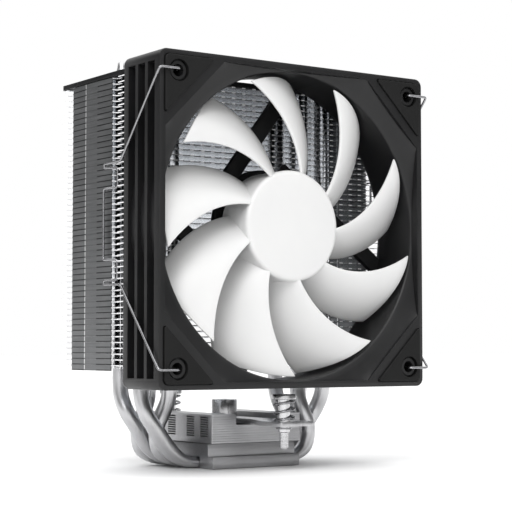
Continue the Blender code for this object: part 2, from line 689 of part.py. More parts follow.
def make_pipe(name, left_outer, leg_y, base_y, mat):
    """U-shaped heat pipe: two legs, tapered tips, pressed flat where it crosses the base."""
    left_top, left_bend = leg_half(left_outer, leg_y, base_y)
    right_top, right_bend = leg_half(not left_outer, leg_y, base_y)
    left_bend = [Vector((-p.x, p.y, p.z)) for p in left_bend]
    left_top = [Vector((-p.x, p.y, p.z)) for p in left_top]
    middle = [Vector((x * MM, base_y, PIPE_R)) for x in (-19, 19)]
    bend = smooth_path([left_top[-1], *left_bend, middle[0]], 4.2 * MM)
    other = smooth_path([middle[1], *reversed(right_bend), right_top[-1]], 4.2 * MM)
    points = [*left_top[:2], *bend, *other, *reversed(right_top[:2])]
    radii = [1.0] * len(points)
    radii[0] = radii[-1] = TIP_SCALE
    pipe = wire(name, points, PIPE_R, PIPE_SIDES - 1, radii)
    for vertex in pipe.data.vertices:
        share = smoothstep((vertex.co.z - 4 * MM) / (PRESS_TO - 4 * MM))
        vertex.co.z *= PRESS_RATIO + (1 - PRESS_RATIO) * share
        vertex.co.z = max(vertex.co.z, 0.05 * MM)
    paint(pipe, mat)


def make_pipes(mat):
    """Four identical pipes, turned and shifted in turn so that their legs form two square groups."""
    for index in range(4):
        leg_y = -LEG_Y if index < 2 else LEG_Y
        make_pipe("heat_pipe_%d" % (index + 1), index % 2 == 0, leg_y, (index - 1.5) * BASE_PITCH, mat)


# ---------------------------------------------------------------- base and mounting

def make_base(mats):
    """Contact block with grooves for the pipes, and the small finned block on top."""
    block = box("base_block", (-BASE_HALF_X, -BASE_HALF_Y, 0), (BASE_HALF_X, BASE_HALF_Y, BASE_PLATE_TOP))
    upper = box("upper", (-BASE_HALF_X, -BASE_LEDGE_Y, BASE_PLATE_TOP - MM),
                (BASE_HALF_X, BASE_LEDGE_Y, BASE_TOP))
    grooves = []
    for index in range(4):
        y, half = (index - 1.5) * BASE_PITCH, PIPE_R + 0.15 * MM
        grooves.append(box("groove", (-BASE_HALF_X - MM, y - half, -MM),
                           (BASE_HALF_X + MM, y + half, 2 * PIPE_R * PRESS_RATIO + GAP), CUTTERS))
    paint(cut(join(block, upper), *grooves), mats["base"])
    sink = box("base_sink", (-SINK_HALF_X, -SINK_HALF_Y, BASE_TOP + GAP), (SINK_HALF_X, SINK_HALF_Y, SINK_TOP))
    cutters = [box("channel", (-CHANNEL_HALF_X, -SINK_HALF_Y - MM, BAR_TOP - BAR_THICK - 0.4 * MM),
                   (CHANNEL_HALF_X, SINK_HALF_Y + MM, SINK_TOP + MM), CUTTERS)]
    pitch = (SINK_TOP - BASE_TOP - GAP) / (SINK_FINS + 1)
    for row in range(SINK_FINS):
        z = BASE_TOP + GAP + pitch * (row + 1)
        for sign in (-1, 1):
            low, high = sorted((sign * (SINK_HALF_Y + MM), sign * (SINK_HALF_Y - 3 * MM)))
            cutters.append(box("slot", (-SINK_HALF_X - MM, low, z - 0.2 * MM),
                               (SINK_HALF_X + MM, high, z + 0.2 * MM), CUTTERS))
    for sign in (-1, 1):
        for y in (-17.2, -7.5, 6.0):
            low, high = sorted((sign * (SINK_HALF_X + MM), sign * (SINK_HALF_X - 2.5 * MM)))
            cutters.append(box("window", (low, -sign * y * MM - 2.6 * MM, 11.4 * MM),
                               (high, -sign * y * MM + 2.6 * MM, SINK_TOP - 0.7 * MM), CUTTERS))
    paint(cut(sink, *cutters), mats["base"])


def make_bar(mat):
    """Steel crossbar over the base, stepped down at its ends, an ear on one side of each."""
    drop = BAR_TOP - BAR_END_TOP
    side = [(-BAR_END_Y, BAR_END_TOP - BAR_END_THICK), (-BAR_DROP_Y, BAR_END_TOP - BAR_END_THICK),
            (-BAR_FLAT_Y, BAR_TOP - BAR_THICK), (BAR_FLAT_Y, BAR_TOP - BAR_THICK),
            (BAR_DROP_Y, BAR_END_TOP - BAR_END_THICK), (BAR_END_Y, BAR_END_TOP - BAR_END_THICK),
            (BAR_END_Y, BAR_END_TOP), (BAR_DROP_Y - 0.3 * drop, BAR_END_TOP), (BAR_FLAT_Y, BAR_TOP),
            (-BAR_FLAT_Y, BAR_TOP), (-BAR_DROP_Y + 0.3 * drop, BAR_END_TOP), (-BAR_END_Y, BAR_END_TOP)]
    bar = prism("crossbar", [side], -BAR_HALF_X, BAR_HALF_X, 'Y')
    bar.data.transform(Matrix.Rotation(math.radians(90), 4, 'Z'))
    others = []
    for sign in (-1, 1):
        ear = rounded([(-5 * MM, -4.5 * MM), (BAR_EAR_X, -4.5 * MM), (BAR_EAR_X, 4.5 * MM), (-5 * MM, 4.5 * MM)],
                      1.2 * MM, 2)
        outline = [(-sign * x, -sign * y + sign * SCREW_Y) for x, y in ear]
        others.append(prism("ear", [outline], BAR_END_TOP - BAR_END_THICK, BAR_END_TOP))
    bar = join(bar, *others)
    holes = [cylinder("hole", SCREW_BODY_R + GAP, (0, sign * SCREW_Y, 0), (0, sign * SCREW_Y, 30 * MM), 16,
                      CUTTERS) for sign in (-1, 1)]
    holes.append(cylinder("hole", 2.6 * MM, (0, 0, 0), (0, 0, 30 * MM), 16, CUTTERS))
    paint(cut(bar, *holes), mat)


def make_boss(mat):
    """Round nut on the crossbar's centre, its spigot in the bar's hole."""
    top, seat, foot = BOSS_TOP, BAR_TOP + GAP, BAR_TOP - BAR_THICK + 0.2 * MM
    profile = [(0, top), (BOSS_R - 0.3 * MM, top), (BOSS_R, top - 0.3 * MM), (BOSS_R, seat),
               (2.2 * MM, seat), (2.2 * MM, foot), (0, foot)]
    boss = turned("bar_boss", profile, steps=28)
    socket = cylinder("socket", 1.8 * MM, (0, 0, top - 2.4 * MM), (0, 0, top + MM), 6, CUTTERS)
    paint(cut(boss, socket), mat)


def make_screws(mats):
    """Two sprung screws in the crossbar, each with its spring and retaining ring."""
    for name, sign in (("front", -1), ("rear", 1)):
        place = (0, sign * SCREW_Y, 0)
        profile = [(0, SCREW_HEAD_TOP), (SCREW_HEAD_R - 0.3 * MM, SCREW_HEAD_TOP),
                   (SCREW_HEAD_R, SCREW_HEAD_TOP - 0.3 * MM), (SCREW_HEAD_R, SCREW_LIP),
                   (SCREW_BODY_R, SCREW_LIP), (SCREW_BODY_R, 14.0 * MM), (SCREW_THREAD_R, 13.8 * MM),
                   (SCREW_THREAD_R, SCREW_END + 0.5 * MM), (SCREW_THREAD_R - 0.5 * MM, SCREW_END), (0, SCREW_END)]
        screw = turned("screw_" + name, profile, 'Z', place, 20)
        cross = [box("cross", (-half_x, sign * SCREW_Y - half_y, SCREW_HEAD_TOP - 1.2 * MM),
                     (half_x, sign * SCREW_Y + half_y, SCREW_HEAD_TOP + MM), CUTTERS)
                 for half_x, half_y in ((2.4 * MM, 0.5 * MM), (0.5 * MM, 2.4 * MM))]
        ring_cut = turned("ring_cut", [(SCREW_BODY_R + MM, 15.9 * MM), (SCREW_BODY_R + MM, 15.0 * MM),
                                       (SCREW_BODY_R - 0.5 * MM, 15.0 * MM),
                                       (SCREW_BODY_R - 0.5 * MM, 15.9 * MM)][::-1], 'Z', place, 20, CUTTERS)
        paint(set_origin(cut(screw, *cross, ring_cut), place), mats["steel"])
        make_retaining_ring(name, sign, mats["spring"])
        make_spring(name, sign, mats["spring"])


def make_retaining_ring(name, sign, mat):
    """Open ring clipped in the screw's groove under the bar."""
    outer = arc((0, 0), 2.9 * MM, 35, 325, 14)
    inner = arc((0, 0), SCREW_BODY_R - 0.35 * MM, 325, 35, 14)
    outline = [(x, y + sign * SCREW_Y) for x, y in outer + inner]
    ring = prism("retaining_ring_" + name, [outline], 15.2 * MM, 15.7 * MM)
    paint(set_origin(ring, (0, sign * SCREW_Y, 0)), mat)


def make_spring(name, sign, mat):
    """Compression spring between the bar and the screw's head."""
    low = BAR_END_TOP + SPRING_WIRE_R + GAP
    high = SCREW_LIP - SPRING_WIRE_R - GAP
    points = []
    steps = round(SPRING_TURNS * 12) + 12
    for index in range(steps + 1):
        turn = index / 12
        share = smoothstep((turn - 0.5) / SPRING_TURNS)
        angle = 2 * math.pi * turn
        points.append(Vector((SPRING_R * math.cos(angle), sign * SCREW_Y + SPRING_R * math.sin(angle),
                              low + (high - low) * share)))
    paint(set_origin(wire("spring_" + name, points, SPRING_WIRE_R, 1), (0, sign * SCREW_Y, low)), mat)


def main():
    clear_scene()
    mats = {
        "black": material("frame_plastic", (0.022, 0.022, 0.023), 0.45, 0),
        "rubber": material("pad_rubber", (0.012, 0.012, 0.012), 0.8, 0),
        "white": material("blade_plastic", (0.86, 0.86, 0.86), 0.35, 0),
        "steel": material("bright_steel", (0.55, 0.55, 0.56), 0.25, 1),
        "spring": material("spring_steel", (0.5, 0.5, 0.51), 0.3, 1),
        "magnet": material("ferrite", (0.05, 0.05, 0.055), 0.6, 0),
        "brass": material("sintered_bronze", (0.45, 0.3, 0.15), 0.5, 1),
        "core": material("laminated_steel", (0.3, 0.3, 0.31), 0.4, 1),
        "copper": material("copper_winding", (0.6, 0.22, 0.1), 0.35, 1),
        "board": material("circuit_board", (0.02, 0.12, 0.04), 0.5, 0),
        "label": material("blank_label", (0.4, 0.4, 0.4), 0.5, 0),
        "fin": material("fin_aluminium", (0.5, 0.5, 0.51), 0.35, 1),
        "cover": material("black_aluminium", (0.015, 0.015, 0.016), 0.4, 0.3),
        "pipe": material("nickelled_copper", (0.6, 0.6, 0.61), 0.18, 1),
        "base": material("milled_aluminium", (0.5, 0.5, 0.51), 0.4, 1),
    }
    make_frame(mats["black"])
    make_pads(mats["rubber"])
    make_rotor(mats)
    make_motor(mats)
    make_clips(mats["spring"])
    make_fins(mats["fin"])
    make_cover(mats["cover"])
    make_pipes(mats["pipe"])
    make_base(mats)
    make_bar(mats["steel"])
    make_boss(mats["steel"])
    make_screws(mats)
    for obj in list(CUTTERS.objects):
        bpy.data.objects.remove(obj, do_unlink=True)


main()
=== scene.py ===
"""Tower cooler for a processor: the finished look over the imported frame."""
import math

import bmesh
import bpy
from mathutils import Matrix, Vector


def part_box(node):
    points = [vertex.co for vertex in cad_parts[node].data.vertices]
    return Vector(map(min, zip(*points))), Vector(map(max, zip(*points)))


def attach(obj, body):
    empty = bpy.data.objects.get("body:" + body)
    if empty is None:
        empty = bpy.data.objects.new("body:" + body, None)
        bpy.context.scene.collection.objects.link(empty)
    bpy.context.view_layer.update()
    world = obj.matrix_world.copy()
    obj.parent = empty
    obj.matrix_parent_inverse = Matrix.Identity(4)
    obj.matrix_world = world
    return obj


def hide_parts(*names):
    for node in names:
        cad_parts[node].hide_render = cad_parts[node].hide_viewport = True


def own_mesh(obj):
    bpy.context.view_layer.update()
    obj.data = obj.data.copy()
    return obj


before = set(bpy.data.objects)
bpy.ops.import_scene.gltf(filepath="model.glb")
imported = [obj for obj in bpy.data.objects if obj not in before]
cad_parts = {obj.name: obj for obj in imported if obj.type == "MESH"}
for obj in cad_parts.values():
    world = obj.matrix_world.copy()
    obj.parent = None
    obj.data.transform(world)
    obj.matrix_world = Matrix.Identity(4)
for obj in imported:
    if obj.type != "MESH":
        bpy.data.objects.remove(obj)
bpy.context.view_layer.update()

MM = 0.001

# Fan: its axis runs along Y, its holes stand HOLE_AT to each side of the axis.
FAN_LOW, FAN_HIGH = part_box("fan_frame")
FAN_FRONT, FAN_REAR = FAN_LOW.y, FAN_HIGH.y
FAN_Z = (FAN_LOW.z + FAN_HIGH.z) / 2
FAN_HALF = (FAN_HIGH.x - FAN_LOW.x) / 2
HOLE_AT = 52.5 * MM
CORNERS = {"tl": (-1, 1), "tr": (1, 1), "bl": (-1, -1), "br": (1, -1)}

# Fin stack: three equal packs, hung down from the top fin's upper face.
FIN_TOP = 144.5 * MM
FIN_PITCH = 2.11 * MM
FIN_THICK = 0.4 * MM
FINS_IN_PACK = 17

# Heat pipes: eight legs through the stack, four flats side by side in the base.
LEG_OUTER, LEG_INNER, LEG_Y = 42.5 * MM, 30.0 * MM, 7.7 * MM
LEGS = [(x, y) for x in (-LEG_OUTER, -LEG_INNER, LEG_INNER, LEG_OUTER) for y in (-LEG_Y, LEG_Y)]
FLAT_PITCH = 6.8 * MM

# Crossbar: a middle length, two lower ends with the screws through them.
BAR_LOW, BAR_TOP = 16.6 * MM, 18.5 * MM
BAR_END_LOW, BAR_END_TOP = 16.2 * MM, 17.9 * MM
SCREW_Y = 40.1 * MM
HEAD_UNDERSIDE = 26.2 * MM


# -------- working by hand

def nothing_selected():
    """Leave edit mode and deselect everything."""
    if bpy.context.mode != 'OBJECT':
        bpy.ops.object.mode_set(mode='OBJECT')
    bpy.ops.object.select_all(action='DESELECT')


def pick(obj):
    """Make one object the only selected one, and the active one."""
    nothing_selected()
    obj.select_set(True)
    bpy.context.view_layer.objects.active = obj
    return obj


def settle(obj, name=None):
    """Put the object's place, turn and size into its mesh."""
    pick(obj)
    bpy.ops.object.transform_apply(location=True, rotation=True, scale=True)
    if name:
        obj.name = obj.data.name = name
    return obj


def face_outward(obj):
    """Turn the front of every face to the outside."""
    pick(obj)
    bpy.ops.object.mode_set(mode='EDIT')
    bpy.ops.mesh.select_all(action='SELECT')
    bpy.ops.mesh.normals_make_consistent(inside=False)
    bpy.ops.object.mode_set(mode='OBJECT')
    return obj


def block(name, low, high):
    """A cube stretched between two corners."""
    nothing_selected()
    low, high = Vector(low), Vector(high)
    bpy.ops.mesh.primitive_cube_add(size=1, location=(low + high) / 2)
    bpy.context.object.scale = high - low
    return settle(bpy.context.object, name)


def rod(name, radius, start, end, vertices=48):
    """A cylinder between two points."""
    nothing_selected()
    start, end = Vector(start), Vector(end)
    turn = Vector((0, 0, 1)).rotation_difference(end - start).to_euler()
    bpy.ops.mesh.primitive_cylinder_add(vertices=vertices, radius=radius, depth=(end - start).length,
                                        location=(start + end) / 2, rotation=turn)
    return settle(bpy.context.object, name)


def lathe(name, profile, centre, along='Z', vertices=64):
    """A disc drawn up ring by ring through (radius, height) pairs, closed at both ends.

    Along Y, heights run towards the rear.
    """
    nothing_selected()
    radius, height = profile[0]
    bpy.ops.mesh.primitive_circle_add(vertices=vertices, radius=radius, fill_type='NGON',
                                      location=(0, 0, height))
    obj = bpy.context.object
    settle(obj, name)
    bpy.ops.object.mode_set(mode='EDIT')
    bpy.ops.mesh.select_all(action='SELECT')
    for next_radius, next_height in profile[1:]:
        bpy.ops.mesh.extrude_region_move(TRANSFORM_OT_translate={"value": (0, 0, next_height - height)})
        factor = next_radius / radius
        bpy.ops.transform.resize(value=(factor, factor, 1), center_override=(0, 0, next_height))
        radius, height = next_radius, next_height
    face_outward(obj)
    if along == 'Y':
        obj.rotation_euler.x = math.radians(-90)
    obj.location = centre
    return settle(obj)


def select_where(obj, kind, test):
    """Enter edit mode with only the corners, edges or faces that pass the test selected."""
    pick(obj)
    bpy.ops.object.mode_set(mode='EDIT')
    bpy.ops.mesh.select_mode(type=kind)
    bpy.ops.mesh.select_all(action='DESELECT')
    mesh = bmesh.from_edit_mesh(obj.data)
    for item in {'VERT': mesh.verts, 'EDGE': mesh.edges, 'FACE': mesh.faces}[kind]:
        if test(item):
            item.select_set(True)
    bmesh.update_edit_mesh(obj.data)


def round_edges(obj, test, width, segments=2):
    """Bevel the edges that pass the test."""
    select_where(obj, 'EDGE', test)
    bpy.ops.mesh.bevel(offset=width, segments=segments, affect='EDGES')
    bpy.ops.object.mode_set(mode='OBJECT')
    return obj


def along(axis):
    """A test for edges that run along an axis."""
    return lambda edge: abs((edge.verts[0].co - edge.verts[1].co).normalized()[axis]) > 0.99


def modify(obj, kind, **settings):
    """Add a modifier and apply it."""
    pick(obj)
    modifier = obj.modifiers.new(kind.lower(), kind)
    for key, value in settings.items():
        setattr(modifier, key, value)
    bpy.ops.object.modifier_apply(modifier=modifier.name)
    return obj


def repeat(obj, count, step):
    """A row of copies in one mesh, each one step on from the last."""
    return modify(obj, 'ARRAY', count=count, use_relative_offset=False, use_constant_offset=True,
                  constant_offset_displace=step)


def combine(obj, others, operation):
    """Boolean with each of the others, which are used up."""
    for other in others:
        modify(obj, 'BOOLEAN', operation=operation, object=other, solver='EXACT')
        bpy.data.objects.remove(other, do_unlink=True)
    return obj


def carve(obj, *cutters):
    """Cut the cutters out of the object."""
    return combine(obj, cutters, 'DIFFERENCE')


def weld(obj, *others):
    """Grow the others into the object."""
    return combine(obj, others, 'UNION')


def soften(obj, width=0.25 * MM, segments=2, angle=35):
    """Take the sharpness off every edge of a finished shape."""
    return modify(obj, 'BEVEL', width=width, segments=segments, limit_method='ANGLE',
                  angle_limit=math.radians(angle), use_clamp_overlap=True, harden_normals=False)


def gather(objects, name):
    """Join several objects into one."""
    pick(objects[0])
    for obj in objects[1:]:
        obj.select_set(True)
    bpy.ops.object.join()
    obj = bpy.context.object
    obj.name = obj.data.name = name
    return obj


def duplicate(obj, name, shift):
    """A copy with its own mesh, moved."""
    copy = obj.copy()
    copy.data = obj.data.copy()
    copy.name = copy.data.name = name
    bpy.context.scene.collection.objects.link(copy)
    copy.location += Vector(shift)
    return settle(copy)


def shade(obj, angle=35):
    """Smooth shading, with edges sharper than the angle kept crisp."""
    pick(obj)
    bpy.ops.object.shade_smooth_by_angle(angle=math.radians(angle))
    return obj


def tube(name, points, radius, radii=None, resolution=5):
    """A round wire or pipe through points."""
    nothing_selected()
    bpy.ops.curve.primitive_nurbs_path_add()
    obj = bpy.context.object
    curve = obj.data
    curve.splines.clear()
    spline = curve.splines.new('POLY')
    spline.points.add(len(points) - 1)
    for index, place in enumerate(points):
        spline.points[index].co = (*place, 1)
        spline.points[index].radius = radii[index] if radii else 1
    curve.dimensions = '3D'
    curve.bevel_depth = radius
    curve.bevel_resolution = resolution
    curve.use_fill_caps = True
    obj.location = (0, 0, 0)
    pick(obj)
    bpy.ops.object.convert(target='MESH')
    obj = bpy.context.object
    modify(obj, 'WELD', merge_threshold=0.01 * MM)
    return settle(face_outward(obj), name)


def ready(obj, material, body, slot, *nodes):
    """Material, body and the CAD nodes that a finished piece stands for."""
    obj.data.materials.clear()
    obj.data.materials.append(material)
    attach(obj, body)
    if nodes:
        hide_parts(*nodes)
    return obj


def smoothstep(value):
    """Ease from 0 to 1, level at both ends."""
    value = min(1, max(0, value))
    return value * value * (3 - 2 * value)


def fillet(points, radius, steps=6):
    """A path with its corners rounded."""
    path = [Vector(points[0])]
    for before, here, after in zip(points, points[1:], points[2:]):
        before, here, after = Vector(before), Vector(here), Vector(after)
        reach = min(radius, (before - here).length * 0.49, (after - here).length * 0.49)
        start = here + (before - here).normalized() * reach
        end = here + (after - here).normalized() * reach
        for step in range(steps + 1):
            t = step / steps
            path.append(start * (1 - t) ** 2 + here * 2 * t * (1 - t) + end * t * t)
    path.append(Vector(points[-1]))
    return path


def smooth_path(points, spacing):
    """A flowing curve through points, at an even spacing."""
    ends = [2 * points[0] - points[1], *points, 2 * points[-1] - points[-2]]
    dense = []
    for p0, p1, p2, p3 in zip(ends, ends[1:], ends[2:], ends[3:]):
        for step in range(20):
            t = step / 20
            dense.append(0.5 * (2 * p1 + (p2 - p0) * t + (2 * p0 - 5 * p1 + 4 * p2 - p3) * t * t
                                + (3 * p1 - p0 - 3 * p2 + p3) * t ** 3))
    dense.append(points[-1])
    lengths = [0]
    for first, second in zip(dense, dense[1:]):
        lengths.append(lengths[-1] + (second - first).length)
    count = max(2, round(lengths[-1] / spacing))
    path, index = [], 0
    for step in range(count + 1):
        wanted = lengths[-1] * step / count
        while index < len(dense) - 2 and lengths[index + 1] < wanted:
            index += 1
        share = (wanted - lengths[index]) / max(lengths[index + 1] - lengths[index], 1e-9)
        path.append(dense[index].lerp(dense[index + 1], share))
    return path


# -------- materials

def node_group(name, inputs, outputs, build):
    """A shader node group that puts out plain values."""
    group = bpy.data.node_groups.new(name, 'ShaderNodeTree')
    for label, kind, value in inputs:
        socket = group.interface.new_socket(label, in_out='INPUT', socket_type=kind)
        socket.default_value = value
    for label in outputs:
        group.interface.new_socket(label, in_out='OUTPUT', socket_type='NodeSocketFloat')
    build(group.nodes, group.links, group.nodes.new('NodeGroupInput'), group.nodes.new('NodeGroupOutput'))
    return group


def object_place(nodes):
    """Each piece's own coordinates."""
    return nodes.new('ShaderNodeTexCoord').outputs['Object']


def math_node(nodes, links, operation, *values, clamp=False):
    """A Math node fed by sockets or plain numbers."""
    node = nodes.new('ShaderNodeMath')
    node.operation = operation
    node.use_clamp = clamp
    for socket, value in zip(node.inputs, values):
        if hasattr(value, 'is_linked'):
            links.new(value, socket)
        else:
            socket.default_value = value
    return node.outputs[0]


def noise(nodes, links, vector, scale, detail=4, roughness=0.6):
    """A noise value; the scale is a socket or a plain number."""
    node = nodes.new('ShaderNodeTexNoise')
    node.inputs['Detail'].default_value = detail
    node.inputs['Roughness'].default_value = roughness
    if hasattr(scale, 'is_linked'):
        links.new(scale, node.inputs['Scale'])
    else:
        node.inputs['Scale'].default_value = scale
    links.new(vector, node.inputs['Vector'])
    return node.outputs['Fac']


def build_grain(nodes, links, given, out):
    """Fine moulded or cast grain: a height, and a slow mottling."""
    place = object_place(nodes)
    fine = noise(nodes, links, place, given.outputs['Scale'], 3)
    broad = noise(nodes, links, place, 38, 4)
    links.new(fine, out.inputs['Height'])
    links.new(broad, out.inputs['Mottle'])


def build_brushing(nodes, links, given, out):
    """Long fine scratches along one axis: a height, and a streaky mask."""
    place = object_place(nodes)
    stretch = nodes.new('ShaderNodeVectorMath')
    stretch.operation = 'MULTIPLY'
    links.new(place, stretch.inputs[0])
    links.new(given.outputs['Stretch'], stretch.inputs[1])
    streak = noise(nodes, links, stretch.outputs[0], 1, 5, 0.7)
    soft = noise(nodes, links, place, 90, 3)
    links.new(streak, out.inputs['Height'])
    links.new(math_node(nodes, links, 'MULTIPLY', streak, math_node(nodes, links, 'ADD', soft, 0.5)),
              out.inputs['Streaks'])


def build_dust(nodes, links, given, out):
    """Where a little dust and handling settles: faces that look up, broken by noise."""
    shape = nodes.new('ShaderNodeNewGeometry')
    split = nodes.new('ShaderNodeSeparateXYZ')
    links.new(shape.outputs['Normal'], split.inputs[0])
    up = math_node(nodes, links, 'MAXIMUM', split.outputs['Z'], 0.12)
    spots = noise(nodes, links, object_place(nodes), 260, 6, 0.7)
    patchy = nodes.new('ShaderNodeMapRange')
    patchy.inputs['From Min'].default_value = 0.42
    patchy.inputs['From Max'].default_value = 0.75
    links.new(spots, patchy.inputs['Value'])
    amount = math_node(nodes, links, 'MULTIPLY', patchy.outputs[0], up)
    links.new(math_node(nodes, links, 'MULTIPLY', amount, given.outputs['Amount'], clamp=True),
              out.inputs['Mask'])


def build_painted_wall_shade(nodes, links, given, out):
    """Painted shadow lines where one folded wall meets the next, and a painted highlight along the crease
    between two facets.
    """
    def calc(operation, *values):
        return math_node(nodes, links, operation, *values)

    split = nodes.new('ShaderNodeSeparateXYZ')
    links.new(object_place(nodes), split.inputs[0])
    # Painted shadow: a dark band at the bottom of each fin pitch, strong on the outer facets and faint on the
    # middle one.
    down = calc('SUBTRACT', given.outputs['Top'], split.outputs['Z'])
    line = calc('GREATER_THAN', calc('FRACT', calc('DIVIDE', down, given.outputs['Pitch'])), 0.80)
    middle = calc('ABSOLUTE', calc('ADD', split.outputs['Y'], 0.15 * MM))
    outer_facet = calc('GREATER_THAN', middle, 4.45 * MM)
    links.new(calc('MULTIPLY', line, calc('MULTIPLY_ADD', outer_facet, 0.75, 0.15)), out.inputs['Seam'])
    # Painted highlight: a white strip 0.3 mm either side of the crease at y = 4.3 mm, broken by the shadow
    # lines.
    off = calc('ABSOLUTE', calc('SUBTRACT', split.outputs['Y'], 4.3 * MM))
    links.new(calc('MULTIPLY', calc('LESS_THAN', off, 0.3 * MM), calc('SUBTRACT', 1, line)),
              out.inputs['Painted_highlight'])


PAINTED_WALL_SHADE = node_group("painted_wall_shade",
                   [("Top", 'NodeSocketFloat', FIN_TOP), ("Pitch", 'NodeSocketFloat', FIN_PITCH)],
                   ["Seam", "Painted_highlight"], build_painted_wall_shade)
GRAIN = node_group("grain", [("Scale", 'NodeSocketFloat', 900.0)], ["Height", "Mottle"], build_grain)
BRUSHING = node_group("brushing", [("Stretch", 'NodeSocketVector', (100.0, 100.0, 100.0))],
                      ["Height", "Streaks"], build_brushing)
DUST = node_group("dust", [("Amount", 'NodeSocketFloat', 0.3)], ["Mask"], build_dust)


class Finish:
    """A material being put together round one Principled shader."""

    def __init__(self, name, color, roughness, metallic=0.0):
        self.material = bpy.data.materials.new(name)
        self.material.use_nodes = True
        self.nodes = self.material.node_tree.nodes
        self.links = self.material.node_tree.links
        self.shader = self.nodes["Principled BSDF"]
        self.shader.inputs["Base Color"].default_value = (*color, 1)
        self.shader.inputs["Roughness"].default_value = roughness
        self.shader.inputs["Metallic"].default_value = metallic
        self.material.diffuse_color = (*color, 1)

    def group(self, tree, **values):
        """One of the shared effects, with its inputs set."""
        node = self.nodes.new('ShaderNodeGroup')
        node.node_tree = tree
        for key, value in values.items():
            node.inputs[key].default_value = value
        return node

    def colours(self, factor, low, high, start=0.3, end=0.7):
        """Base colour between two colours."""
        ramp = self.nodes.new('ShaderNodeValToRGB')
        ramp.color_ramp.elements[0].position = start
        ramp.color_ramp.elements[1].position = end
        ramp.color_ramp.elements[0].color = (*low, 1)
        ramp.color_ramp.elements[1].color = (*high, 1)
        self.links.new(factor, ramp.inputs['Fac'])
        self.links.new(ramp.outputs['Color'], self.shader.inputs['Base Color'])

    def over(self, color, mask):
        """Another colour laid over the present one through a mask."""
        mix = self.nodes.new('ShaderNodeMix')
        mix.data_type = 'RGBA'
        base, laid, result = mix.inputs[6], mix.inputs[7], mix.outputs[2]
        self.links.new(mask, mix.inputs['Factor'])
        self.links.new(self.shader.inputs['Base Color'].links[0].from_socket, base)
        laid.default_value = (*color, 1)
        self.links.new(result, self.shader.inputs['Base Color'])

    def roughness(self, factor, low, high):
        """Roughness between two values."""
        span = self.nodes.new('ShaderNodeMapRange')
        span.inputs['From Min'].default_value = 0.25
        span.inputs['From Max'].default_value = 0.75
        span.inputs['To Min'].default_value = low
        span.inputs['To Max'].default_value = high
        self.links.new(factor, span.inputs['Value'])
        self.links.new(span.outputs[0], self.shader.inputs['Roughness'])

    def bump(self, height, strength, distance):
        """Fine relief."""
        node = self.nodes.new('ShaderNodeBump')
        node.inputs['Strength'].default_value = strength
        node.inputs['Distance'].default_value = distance
        self.links.new(height, node.inputs['Height'])
        self.links.new(node.outputs['Normal'], self.shader.inputs['Normal'])


def moulded(name, dark, light, roughness, scale, strength, dust, dust_color=(0.20, 0.195, 0.19), shine=0.5):
    """Moulded plastic or rubber."""
    finish = Finish(name, light, roughness[0])
    finish.shader.inputs["Specular IOR Level"].default_value = shine
    grain = finish.group(GRAIN, Scale=scale)
    finish.colours(grain.outputs['Mottle'], dark, light)
    finish.over(dust_color, finish.group(DUST, Amount=dust).outputs['Mask'])
    finish.roughness(grain.outputs['Mottle'], *roughness)
    finish.bump(grain.outputs['Height'], strength, 0.05 * MM)
    return finish


def brushed(name, dark, light, roughness, stretch, strength):
    """Drawn, brushed or milled metal."""
    finish = Finish(name, light, roughness[0], 1.0)
    marks = finish.group(BRUSHING, Stretch=stretch)
    finish.colours(marks.outputs['Streaks'], dark, light, 0.25, 0.75)
    finish.roughness(marks.outputs['Height'], *roughness)
    finish.bump(marks.outputs['Height'], strength, 0.03 * MM)
    return finish


def grey(low, high, blue=0.01):
    """A darker and a lighter grey, both a touch blue."""
    return (low, low, low + blue), (high, high, high + blue)


